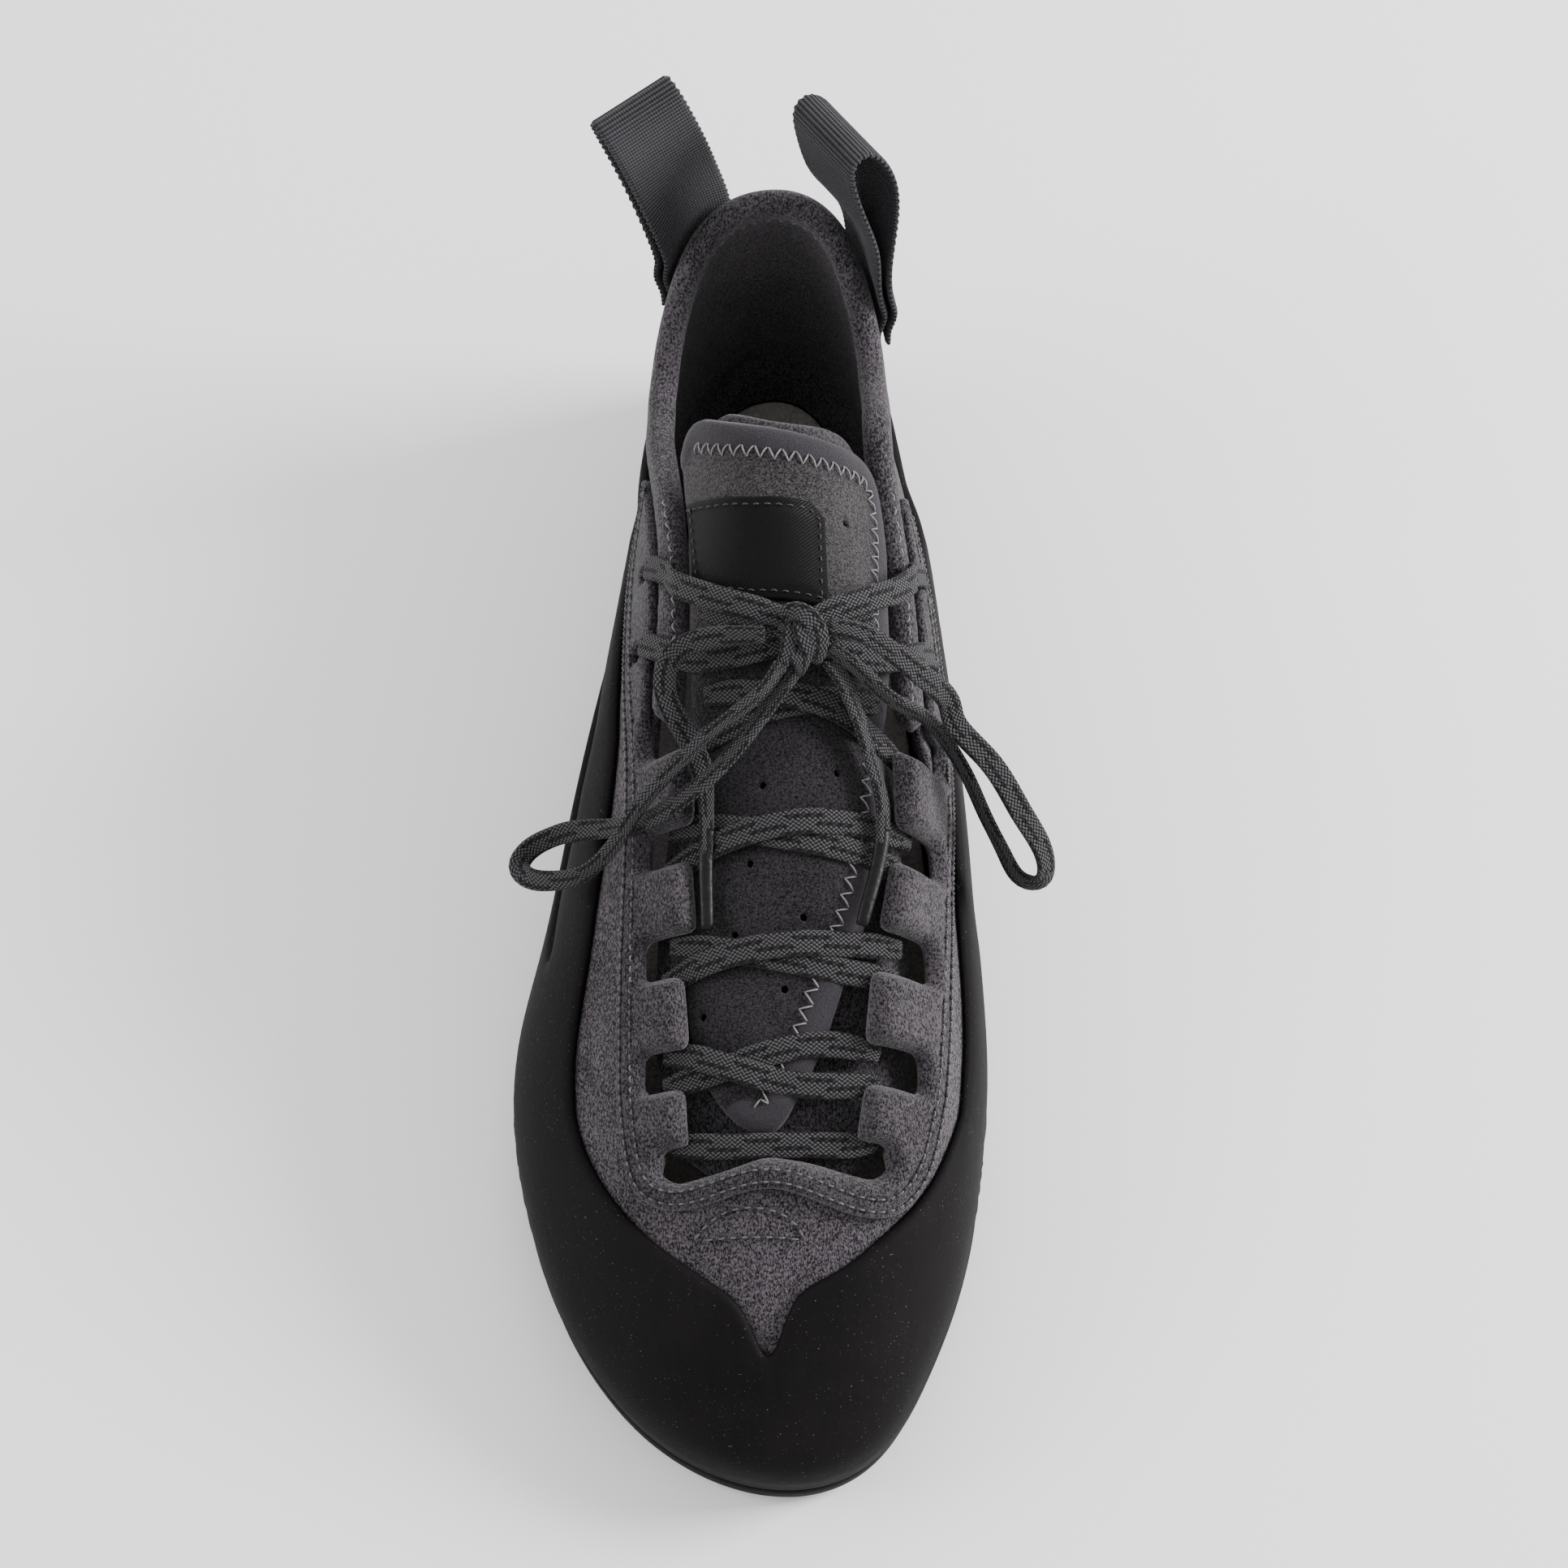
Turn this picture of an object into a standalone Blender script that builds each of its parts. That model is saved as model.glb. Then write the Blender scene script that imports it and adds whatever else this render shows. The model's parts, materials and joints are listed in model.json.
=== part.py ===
"""A right climbing shoe: hollow suede upper on a thin rubber sole, with rand,
lace facing, padded collar roll, two-flap tongue, pull loops and lace.

Metres, +Z up, toe towards -Y, the big toe's side at +X. Everything that follows the foot is
drawn on a flat pattern of the last: a is the girth distance from the ridge line, positive
towards the big toe's side, and b is the distance from the heel along the length."""

import bpy
import numpy as np
from mathutils import Vector
from mathutils.geometry import delaunay_2d_cdt

for item in list(bpy.data.objects):
    bpy.data.objects.remove(item)

# The foot's own sizes.
LENGTH = 0.258
BALL_WIDTH = 0.0925
INSTEP_HEIGHT = 0.088
HEEL_BACK = 0.028
ARCH_RISE = 0.007

# Walls and thicknesses. Flat facets of neighbouring layers need the facet allowance too.
CLEARANCE = 0.0003
FACET_ALLOWANCE = 0.0003
UPPER_WALL = 0.002
SOLE_THICKNESS = 0.004
INSOLE_THICKNESS = 0.002
RAND_THICKNESS = 0.0018
FACING_THICKNESS = 0.0022
ROLL_WIDTH = 0.0070
ROLL_THICKNESS = 0.0058
TONGUE_THICKNESS = 0.0024
UNDER_TONGUE_THICKNESS = 0.0022
LABEL_THICKNESS = 0.0006
LACE_WIDTH = 0.0052
LACE_THICKNESS = 0.0016
LOOP_WIDTH = 0.0192
LOOP_THICKNESS = 0.0016
EYELET_HOLE = 0.0044
CORD_RADIUS = 0.0014

# Plan outline at the widest level: share of the length from the heel, then the little toe's and
# the big toe's edge as shares of the ball width.
OUTLINE = (
    (0.000, -0.020, -0.020),
    (0.040, -0.218, 0.160),
    (0.100, -0.282, 0.218),
    (0.160, -0.308, 0.252),
    (0.230, -0.340, 0.312),
    (0.310, -0.385, 0.348),
    (0.400, -0.434, 0.376),
    (0.500, -0.478, 0.398),
    (0.580, -0.522, 0.414),
    (0.640, -0.562, 0.425),
    (0.690, -0.575, 0.426),
    (0.750, -0.560, 0.411),
    (0.810, -0.520, 0.385),
    (0.860, -0.472, 0.350),
    (0.910, -0.393, 0.297),
    (0.955, -0.287, 0.233),
    (0.985, -0.165, 0.153),
    (1.000, 0.010, 0.010),
)

# Cross sections: share of the length, the ridge's x as a share of the ball width, widest level
# and ridge height as shares of the instep height, tuck of the wall under the widest level as a
# share of the ball width, and how full the dome is on the little toe's and the big toe's side.
SECTIONS = (
    (0.00, -0.040, 0.20, 1.160, 0.060, 3.60, 3.60),
    (0.05, -0.040, 0.20, 1.150, 0.058, 3.10, 2.90),
    (0.12, -0.040, 0.20, 1.130, 0.055, 2.70, 2.50),
    (0.22, -0.028, 0.19, 1.100, 0.050, 1.95, 1.85),
    (0.30, -0.010, 0.18, 1.060, 0.050, 1.66, 1.70),
    (0.40, 0.012, 0.17, 0.975, 0.050, 1.65, 1.78),
    (0.50, 0.030, 0.16, 0.865, 0.045, 1.70, 1.92),
    (0.60, 0.042, 0.15, 0.755, 0.035, 1.74, 2.04),
    (0.70, 0.052, 0.15, 0.650, 0.025, 1.80, 2.14),
    (0.80, 0.056, 0.15, 0.545, 0.018, 1.90, 2.20),
    (0.90, 0.050, 0.15, 0.430, 0.012, 2.05, 2.26),
    (1.00, 0.040, 0.15, 0.300, 0.008, 2.28, 2.28),
)
# How widely the ridge is rounded, as a share of the way to the edge.
CROWN = 0.08

# The sole's underside: share of the length and height as a share of the arch rise. Between two
# equal rows it is flat.
SOLE_LINE = ((0.00, 0.15), (0.05, 0.0), (0.20, 0.0), (0.45, 1.0), (0.68, 0.0), (0.90, 0.0), (1.00, 0.35))

# The fans of section planes around heel and toe turn about these shares of the length.
HEEL_PIVOT = 0.12
TOE_PIVOT = 0.74

# Centre line of the collar roll: share of the length, height as a share of the instep height.
COLLAR_LATERAL = (
    (0.00, 0.895), (0.04, 0.845), (0.08, 0.735), (0.13, 0.645), (0.18, 0.655),
    (0.22, 0.712), (0.27, 0.762), (0.34, 0.800), (0.41, 0.785), (0.46, 0.750),
)
COLLAR_MEDIAL = (
    (0.00, 0.895), (0.04, 0.855), (0.08, 0.770), (0.12, 0.722), (0.17, 0.745),
    (0.20, 0.780), (0.25, 0.775), (0.30, 0.742), (0.34, 0.725), (0.41, 0.725), (0.46, 0.705),
)

# The tabs that carry the lace, from the ankle down: where each starts and ends as a share of
# the length, then girth places as shares of the ball width: the lateral tab's two corners and
# the slot's end, and the same on the medial side.
TABS = (
    (0.488, 0.547, -0.238, -0.243, -0.368, 0.238, 0.227, 0.430),
    (0.574, 0.628, -0.249, -0.238, -0.368, 0.205, 0.162, 0.355),
    (0.659, 0.713, -0.270, -0.259, -0.368, 0.141, 0.119, 0.298),
    (0.742, 0.777, -0.270, -0.270, -0.368, 0.119, 0.108, 0.255),
)

# Pattern outlines, as shares of the ball width and of the length.
FACING_OUTER = (
    (-0.515, 0.230), (-0.556, 0.268), (-0.560, 0.305), (-0.522, 0.360), (-0.472, 0.426), (-0.440, 0.484),
    (-0.427, 0.581), (-0.427, 0.680), (-0.424, 0.765), (-0.390, 0.818), (-0.303, 0.834), (-0.200, 0.829),
    (-0.097, 0.822), (0.000, 0.830), (0.108, 0.843), (0.200, 0.840), (0.275, 0.812), (0.318, 0.755),
    (0.368, 0.647), (0.420, 0.565), (0.480, 0.490), (0.512, 0.430), (0.536, 0.372), (0.556, 0.330),
    (0.540, 0.285), (0.490, 0.250),
)
THROAT_FOOT = (
    (-0.330, 0.787), (-0.346, 0.803), (-0.303, 0.815), (-0.200, 0.808), (-0.097, 0.798), (0.000, 0.804),
    (0.086, 0.812), (0.151, 0.816), (0.190, 0.803), (0.176, 0.787),
)
RAND_TOP = (
    (0.655, 0.280), (0.605, 0.330), (0.565, 0.370), (0.542, 0.420),
    (0.545, 0.469), (0.497, 0.578), (0.476, 0.640), (0.443, 0.702), (0.395, 0.755), (0.335, 0.795),
    (0.260, 0.830), (0.165, 0.859), (0.070, 0.884), (-0.008, 0.899), (-0.048, 0.916), (-0.097, 0.950),
    (-0.141, 0.924), (-0.184, 0.903), (-0.227, 0.892), (-0.292, 0.876), (-0.378, 0.851), (-0.465, 0.815),
    (-0.538, 0.764), (-0.560, 0.705), (-0.551, 0.667), (-0.538, 0.628), (-0.530, 0.574), (-0.515, 0.508),
    (-0.519, 0.442), (-0.560, 0.385), (-0.625, 0.325), (-0.672, 0.275),
)
RAND_WINDOW_LATERAL = (
    (-0.703, 0.604), (-0.715, 0.566), (-0.692, 0.496), (-0.676, 0.461), (-0.650, 0.422), (-0.680, 0.368),
    (-0.724, 0.310), (-0.768, 0.252), (-0.811, 0.202), (-0.870, 0.182), (-0.925, 0.202), (-0.945, 0.252),
    (-0.925, 0.310), (-0.865, 0.426), (-0.805, 0.504), (-0.752, 0.574),
)
RAND_WINDOW_MEDIAL = (
    (0.655, 0.566), (0.660, 0.504), (0.665, 0.434), (0.700, 0.368), (0.750, 0.310), (0.800, 0.252),
    (0.843, 0.202), (0.887, 0.185), (0.925, 0.209), (0.915, 0.271), (0.876, 0.349), (0.832, 0.426),
    (0.778, 0.504), (0.705, 0.562),
)
HEEL_CUP = ((0.225, 0.440), (0.180, 0.455), (0.12, 0.49), (0.06, 0.52), (0.00, 0.56))
TONGUE = (
    (-0.314, 0.236), (-0.262, 0.226), (-0.174, 0.236), (-0.060, 0.250), (0.060, 0.256), (0.197, 0.254),
    (0.293, 0.252), (0.346, 0.262), (0.364, 0.286), (0.353, 0.325), (0.322, 0.360), (0.290, 0.410),
    (0.258, 0.470), (0.235, 0.520), (0.205, 0.565), (0.174, 0.598), (0.132, 0.637), (0.086, 0.670),
    (0.030, 0.718), (-0.023, 0.752), (-0.086, 0.780), (-0.151, 0.775), (-0.225, 0.745), (-0.272, 0.700),
    (-0.285, 0.600), (-0.282, 0.504), (-0.270, 0.440), (-0.272, 0.400), (-0.284, 0.345), (-0.308, 0.295),
    (-0.328, 0.258),
)
UNDER_TONGUE = (
    (-0.270, 0.236), (-0.205, 0.227), (-0.130, 0.233), (-0.020, 0.243), (0.130, 0.241), (0.270, 0.232),
    (0.340, 0.238), (0.368, 0.262), (0.368, 0.300), (0.352, 0.340), (0.318, 0.390), (0.303, 0.440),
    (0.340, 0.500), (0.348, 0.581), (0.303, 0.678), (0.259, 0.756), (0.151, 0.806), (0.000, 0.826),
    (-0.162, 0.822), (-0.292, 0.798), (-0.357, 0.756), (-0.389, 0.659), (-0.389, 0.560), (-0.350, 0.500),
    (-0.285, 0.450), (-0.276, 0.400), (-0.290, 0.335), (-0.305, 0.290), (-0.300, 0.255),
)
# How far the tongue evens out the ridge to either side: share of the length, metres.
BRIDGE = ((0.25, 0.016), (0.45, 0.012), (0.75, 0.006))
LABEL = (
    (-0.278, 0.292), (-0.180, 0.302), (-0.068, 0.311), (0.075, 0.315), (0.108, 0.326), (0.092, 0.396),
    (-0.081, 0.390), (-0.240, 0.374),
)

# Eyelets beside the roll, lateral and medial: girth place and share of the length.
EYELETS = ((-0.436, 0.326), (-0.427, 0.395), (0.512, 0.318), (0.474, 0.393))

# The lace's runs: girth places as shares of the ball width, then shares of the length.
BAR = ((-0.308, 0.785), (-0.100, 0.787), (0.140, 0.789))
CROSSINGS = (
    (((-0.303, 0.716), (0.151, 0.739)), ((-0.303, 0.738), (0.151, 0.719))),
    (((-0.292, 0.636), (0.195, 0.659)), ((-0.292, 0.659), (0.216, 0.638))),
    (((-0.292, 0.548), (0.259, 0.577)), ((-0.292, 0.575), (0.281, 0.550))),
    (((-0.205, 0.456), (0.292, 0.493)), ((0.216, 0.458), (-0.292, 0.488))),
)
EYELET_CROSSING = (
    ((-0.405, 0.395), (-0.319, 0.407), (-0.227, 0.424), (0.000, 0.422), (0.178, 0.396)),
    ((0.450, 0.395), (0.345, 0.405), (0.232, 0.422), (0.000, 0.422), (-0.182, 0.393)),
)
TOP_RUN = (
    (-0.412, 0.328), (-0.325, 0.342), (-0.227, 0.370), (-0.108, 0.395), (0.015, 0.412),
    (0.090, 0.402), (0.238, 0.372), (0.362, 0.340), (0.488, 0.321),
)

# Colour and roughness of the pieces whose names start so.
FINISHES = (
    ("upper", (0.075, 0.068, 0.075), 0.95),
    ("lace_facing", (0.075, 0.068, 0.075), 0.95),
    ("collar_roll", (0.070, 0.064, 0.070), 0.95),
    ("tongue_label", (0.018, 0.017, 0.018), 0.60),
    ("tongue", (0.055, 0.050, 0.053), 0.95),
    ("rand", (0.016, 0.014, 0.015), 0.75),
    ("outsole", (0.014, 0.013, 0.013), 0.70),
    ("insole", (0.060, 0.055, 0.053), 0.95),
    ("pull_loop", (0.050, 0.046, 0.050), 0.85),
    ("lace", (0.060, 0.057, 0.058), 0.85),
)


def spline(xs, ys, x):
    """A natural cubic spline through the points, read at x."""
    xs, ys, x = (np.asarray(v, float) for v in (xs, ys, x))
    n, h = len(xs), np.diff(xs)
    m, r = np.eye(n), np.zeros(n)
    for i in range(1, n - 1):
        m[i, i - 1], m[i, i], m[i, i + 1] = h[i - 1], 2 * (h[i - 1] + h[i]), h[i]
        r[i] = 6 * ((ys[i + 1] - ys[i]) / h[i] - (ys[i] - ys[i - 1]) / h[i - 1])
    c = np.linalg.solve(m, r)
    i = np.clip(np.searchsorted(xs, x) - 1, 0, n - 2)
    t, u = x - xs[i], xs[i + 1] - x
    return (
        (c[i] * u**3 + c[i + 1] * t**3) / (6 * h[i])
        + (ys[i] / h[i] - c[i] * h[i] / 6) * u
        + (ys[i + 1] / h[i] - c[i + 1] * h[i] / 6) * t
    )


def rounded_share(share):
    """Spreads the outline's rows near heel and toe, where the edge turns round."""
    return np.arccos(np.clip(1 - 2 * np.asarray(share, float), -1, 1))


def edge(share, side):
    rows = np.array(OUTLINE)
    return BALL_WIDTH * spline(rounded_share(rows[:, 0]), rows[:, 1 if side < 0 else 2], rounded_share(share))


def section(share, column):
    rows = np.array(SECTIONS)
    return spline(rows[:, 0], rows[:, column], np.clip(share, -0.05, 1.05))


def sole_line(share):
    """Height of the sole's underside."""
    rows, share = np.array(SOLE_LINE), np.clip(np.asarray(share, float), 0, 1)
    i = np.clip(np.searchsorted(rows[:, 0], share, side="right") - 1, 0, len(rows) - 2)
    t = (share - rows[i, 0]) / (rows[i + 1, 0] - rows[i, 0])
    t = t * t * (3 - 2 * t)
    return ARCH_RISE * (rows[i, 1] * (1 - t) + rows[i + 1, 1] * t)


def along(share):
    return HEEL_BACK - LENGTH * np.asarray(share, float)


class Last:
    """The upper's outer surface as a ring of section columns from the ridge down to the sole.
    It turns pattern places (a, b) into points of the surface."""

    STEP = 0.001

    def __init__(self):
        half = (1 - np.cos(np.linspace(0, np.pi, 241))) / 2
        self.share = np.concatenate([half, half[-2:0:-1]])
        self.side = np.concatenate([np.ones(241), -np.ones(239)])
        share, count = self.share, len(self.share)
        fx = np.where(self.side > 0, edge(share, 1), edge(share, -1))
        pivot = np.clip(share, HEEL_PIVOT, TOE_PIVOT)
        foot = np.stack([fx, along(share)], -1)
        top = np.stack([BALL_WIDTH * section(pivot, 1), along(pivot)], -1)
        out = (foot - top) / np.linalg.norm(foot - top, axis=1)[:, None]
        under = sole_line(share)
        widest = INSTEP_HEIGHT * section(share, 2) + under
        floor = under + SOLE_THICKNESS
        full = np.where(self.side > 0, section(share, 6), section(share, 5))[:, None]
        # The dome from the ridge to the widest level, then the wall that tucks in under it.
        angle = np.linspace(np.pi / 2, 0, 80)[None, :]
        reach, lift = np.cos(angle) ** (2 / full), np.sin(angle) ** (2 / full)
        reach = np.sqrt((reach * (np.hypot(1, CROWN) - CROWN) + CROWN) ** 2 - CROWN**2)
        plan = top[:, None] + reach[..., None] * (foot - top)[:, None]
        ridge = INSTEP_HEIGHT * section((HEEL_BACK - plan[..., 1]) / LENGTH, 3)
        dome = np.concatenate([plan, (widest[:, None] + (ridge - widest[:, None]) * lift)[..., None]], -1)
        t = np.linspace(0, 1, 24)[1:]
        inset = (BALL_WIDTH * section(share, 4))[:, None] * (1 - np.cos(np.pi / 2 * t))
        low = foot[:, None] - inset[..., None] * out[:, None]
        wall = np.concatenate([low, (widest[:, None] - (widest - floor)[:, None] * t)[..., None]], -1)
        column = np.concatenate([dome, wall], 1)
        walk = np.linalg.norm(np.diff(column, axis=1), axis=2)
        walk = np.concatenate([np.zeros((count, 1)), np.cumsum(walk, axis=1)], 1)
        self.girth = walk[:, -1]
        self.down = column[:, -1] - column[:, -2]
        self.down /= np.linalg.norm(self.down, axis=1)[:, None]
        reach = np.arange(int(self.girth.max() / self.STEP) + 14) * self.STEP
        self.table = np.empty((count, len(reach), 3))
        for k in range(count):
            for c in range(3):
                self.table[k, :, c] = np.interp(reach, walk[k], column[k, :, c])
            past = reach > self.girth[k]
            self.table[k, past] = column[k, -1] + (reach[past] - self.girth[k])[:, None] * self.down[k]
        # Which column a pattern place lies in: straight across between the pivots, by its angle
        # around a pivot beyond them.
        order = np.arange(count)
        toe, heel = share >= TOE_PIVOT - 1e-9, share <= HEEL_PIVOT + 1e-9
        self.toe = (np.arctan2(along(TOE_PIVOT) - foot[toe, 1], (foot - top)[toe, 0]), order[toe])
        turn = np.arctan2(foot[heel, 1] - along(HEEL_PIVOT), (foot - top)[heel, 0])
        wrapped = np.where(order > count // 2, order - count, order)[heel]
        by = np.argsort(turn)
        self.heel = (turn[by], wrapped[by].astype(float))
        self.sides = {}
        for side in (-1, 1):
            of = order[self.side == side]
            of = of[np.argsort(share[of])]
            self.sides[side] = (share[of], of.astype(float))

    def column(self, a, b):
        """Column number and girth distance of the pattern places."""
        a, b = np.asarray(a, float), np.asarray(b, float)
        k = np.where(a >= 0, np.interp(b / LENGTH, *self.sides[1]), np.interp(b / LENGTH, *self.sides[-1]))
        d = np.abs(a)
        past_toe, past_heel = b - TOE_PIVOT * LENGTH, HEEL_PIVOT * LENGTH - b
        k = np.where(past_toe > 0, np.interp(np.arctan2(past_toe, a), *self.toe), k)
        k = np.where(past_heel > 0, np.interp(np.arctan2(past_heel, a), *self.heel), k)
        d = np.where(past_toe > 0, np.hypot(a, past_toe), np.where(past_heel > 0, np.hypot(a, past_heel), d))
        return k, d

    def point(self, a, b):
        k, d = self.column(a, b)
        k0 = np.floor(k).astype(int)
        fk = (k - k0)[..., None]
        m = np.clip(d / self.STEP, 0, self.table.shape[1] - 1.001)
        m0 = m.astype(int)
        fm = (m - m0)[..., None]
        k0, k1, t = k0 % len(self.share), (k0 + 1) % len(self.share), self.table
        near = t[k0, m0] * (1 - fk) + t[k1, m0] * fk
        return near * (1 - fm) + (t[k0, m0 + 1] * (1 - fk) + t[k1, m0 + 1] * fk) * fm

    def foot_girth(self, a, b):
        """Girth distance of the sole's edge in the column of a pattern place."""
        k, d = self.column(a, b)
        around = np.append(self.girth, self.girth[0])
        return np.interp(k % len(self.share), np.arange(len(around)), around), d

    def normal(self, a, b):
        """Outward direction, level where the wall meets the sole."""
        a, b, e = np.asarray(a, float), np.asarray(b, float), 0.0012
        n = np.cross(self.point(a, b + e) - self.point(a, b - e), self.point(a + e, b) - self.point(a - e, b))
        girth, d = self.foot_girth(a, b)
        n[..., 2] *= np.clip((girth - d) / 0.008, 0, 1)
        return n / np.linalg.norm(n, axis=-1)[..., None]

    def lifted(self, places, lift):
        """Points at a height above the surface, which may be a number or a function of places."""
        a, b = places[:, 0], places[:, 1]
        lift = lift(places) if callable(lift) else np.full(len(a), lift)
        return self.point(a, b) + self.normal(a, b) * lift[:, None]

    def place(self, share, side, height):
        """The pattern place of a height on the wall at a share of the length."""
        which = np.where(self.side == side)[0]
        k = which[np.argmin(np.abs(self.share[which] - share))]
        rows = self.table[k, : int(self.girth[k] / self.STEP)]
        at = np.interp(-height, -rows[:, 2], np.arange(len(rows)) * self.STEP)
        return self.in_column(k, at)

    def in_column(self, k, d):
        """The pattern place at girth distance d in column k."""
        s, side = self.share[k], self.side[k]
        if s > TOE_PIVOT:
            angle = np.interp(k, self.toe[1], self.toe[0])
            return d * np.cos(angle), TOE_PIVOT * LENGTH + d * np.sin(angle)
        if s < HEEL_PIVOT:
            angle = np.interp(k - len(self.share) if side < 0 else k, np.sort(self.heel[1]),
                              self.heel[0][np.argsort(self.heel[1])])
            return d * np.cos(angle), HEEL_PIVOT * LENGTH - d * np.sin(angle)
        return side * d, s * LENGTH

    def aside(self, line, distance):
        """A pattern line moved over the surface to its left by a true distance."""
        a, b, e = line[:, 0], line[:, 1], 0.0005
        by_a = (self.point(a + e, b) - self.point(a - e, b)) / (2 * e)
        by_b = (self.point(a, b + e) - self.point(a, b - e)) / (2 * e)
        run = np.gradient(line, axis=0)
        run = by_a * run[:, :1] + by_b * run[:, 1:]
        way = np.cross(run, self.normal(a, b))
        way /= np.linalg.norm(way, axis=1)[:, None]
        moved = [line[i] + distance * np.linalg.lstsq(np.stack([by_a[i], by_b[i]], -1), way[i], rcond=None)[0]
                 for i in range(len(line))]
        return np.array(moved)

    def foot_line(self, inset):
        """Closed pattern line along the sole's edge, higher by inset."""
        ring = range(0, len(self.share), 3)
        return np.array([self.in_column(k, self.girth[k] - inset) for k in ring])


LAST = Last()


def shares(rows):
    """Pattern places from shares of the ball width and of the length."""
    return np.array(rows, float) * (BALL_WIDTH, LENGTH)


def smooth(points, step, closed=True, count=None):
    """A smooth line through the points, with a point about every step, or with count steps at
    even shares of the way."""
    p = np.array(points, float)
    if closed:
        p = np.vstack([p[-3:], p, p[:3]])
    t = np.concatenate([[0], np.cumsum(np.linalg.norm(np.diff(p, axis=0), axis=1) ** 0.7)])
    fine_t = np.linspace(t[2], t[-3], 1500) if closed else np.linspace(t[0], t[-1], 1500)
    if count:
        fine_t = np.interp(np.linspace(0, len(p) - 1, count + 1), np.arange(len(p)), t)
        return np.stack([spline(t, p[:, c], fine_t) for c in range(p.shape[1])], -1)
    fine = np.stack([spline(t, p[:, c], fine_t) for c in range(p.shape[1])], -1)
    if closed:
        start = np.searchsorted(fine_t, t[3])
        end = np.searchsorted(fine_t, t[-3])
        fine = fine[start:end]
        fine = np.vstack([fine, fine[:1]])
    return walk_line(fine, step, closed)


def walk_line(fine, step, closed=False):
    """Points at even distances along a fine line."""
    d = np.concatenate([[0], np.cumsum(np.linalg.norm(np.diff(fine, axis=0), axis=1))])
    n = max(3, int(round(d[-1] / step)))
    s = np.linspace(0, d[-1], n + 1)
    line = np.stack([np.interp(s, d, fine[:, c]) for c in range(fine.shape[1])], -1)
    return line[:-1] if closed else line


def soft_corners(points, radius, closed=True):
    """The outline with each corner cut by a small arc."""
    p, out = np.array(points, float), []
    for i in range(len(p)):
        before, here, after = p[i - 1], p[i], p[(i + 1) % len(p)]
        if not closed and i in (0, len(p) - 1):
            out.append(here)
            continue
        u, v = before - here, after - here
        lu, lv = np.linalg.norm(u), np.linalg.norm(v)
        bend = 1 + (u @ v) / (lu * lv)
        r = min(radius, 0.4 * lu, 0.4 * lv)
        if bend < 0.06 or r < 0.0004:
            out.append(here)
            continue
        s, e = here + u / lu * r, here + v / lv * r
        out += [s, (s + e) / 4 + here / 2, e]
    return np.array(out)


def divided(points, step, closed=True):
    """The outline with its long edges divided."""
    p, out = np.array(points, float), []
    for i in range(len(p) if closed else len(p) - 1):
        q = p[(i + 1) % len(p)]
        n = max(1, int(round(np.linalg.norm(q - p[i]) / step)))
        out += [p[i] + (q - p[i]) * j / n for j in range(n)]
    if not closed:
        out.append(p[-1])
    return np.array(out)


def inside(points, ring):
    x, y = points[:, 0][:, None], points[:, 1][:, None]
    p, q = ring, np.roll(ring, -1, axis=0)
    crosses = (p[:, 1] > y) != (q[:, 1] > y)
    with np.errstate(divide="ignore", invalid="ignore"):
        at = (q[:, 0] - p[:, 0]) * (y - p[:, 1]) / (q[:, 1] - p[:, 1]) + p[:, 0]
    return (np.sum(crosses & (x < at), axis=1) % 2) == 1


def offset_line(line, distance):
    """An open line moved to its left by distance."""
    t = np.gradient(line, axis=0)
    t /= np.linalg.norm(t, axis=1)[:, None]
    return line + np.stack([-t[:, 1], t[:, 0]], -1) * distance


def finish_of(name):
    """The material of a piece, by how its name starts."""
    color, roughness = next(row[1:] for row in FINISHES if name.startswith(row[0]))
    finish = bpy.data.materials.get(name) or bpy.data.materials.new(name)
    finish.use_nodes = True
    shader = finish.node_tree.nodes["Principled BSDF"]
    shader.inputs["Base Color"].default_value = (*color, 1)
    shader.inputs["Roughness"].default_value = roughness
    shader.inputs["Metallic"].default_value = 0
    return finish


def solid(name, points, faces):
    mesh = bpy.data.meshes.new(name)
    mesh.from_pydata([tuple(p) for p in points], [], [tuple(int(i) for i in f) for f in faces])
    mesh.validate()
    mesh.shade_smooth()
    mesh.set_sharp_from_angle(angle=0.7)
    mesh.materials.append(finish_of(name))
    item = bpy.data.objects.new(name, mesh)
    bpy.context.scene.collection.objects.link(item)
    return item


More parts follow.
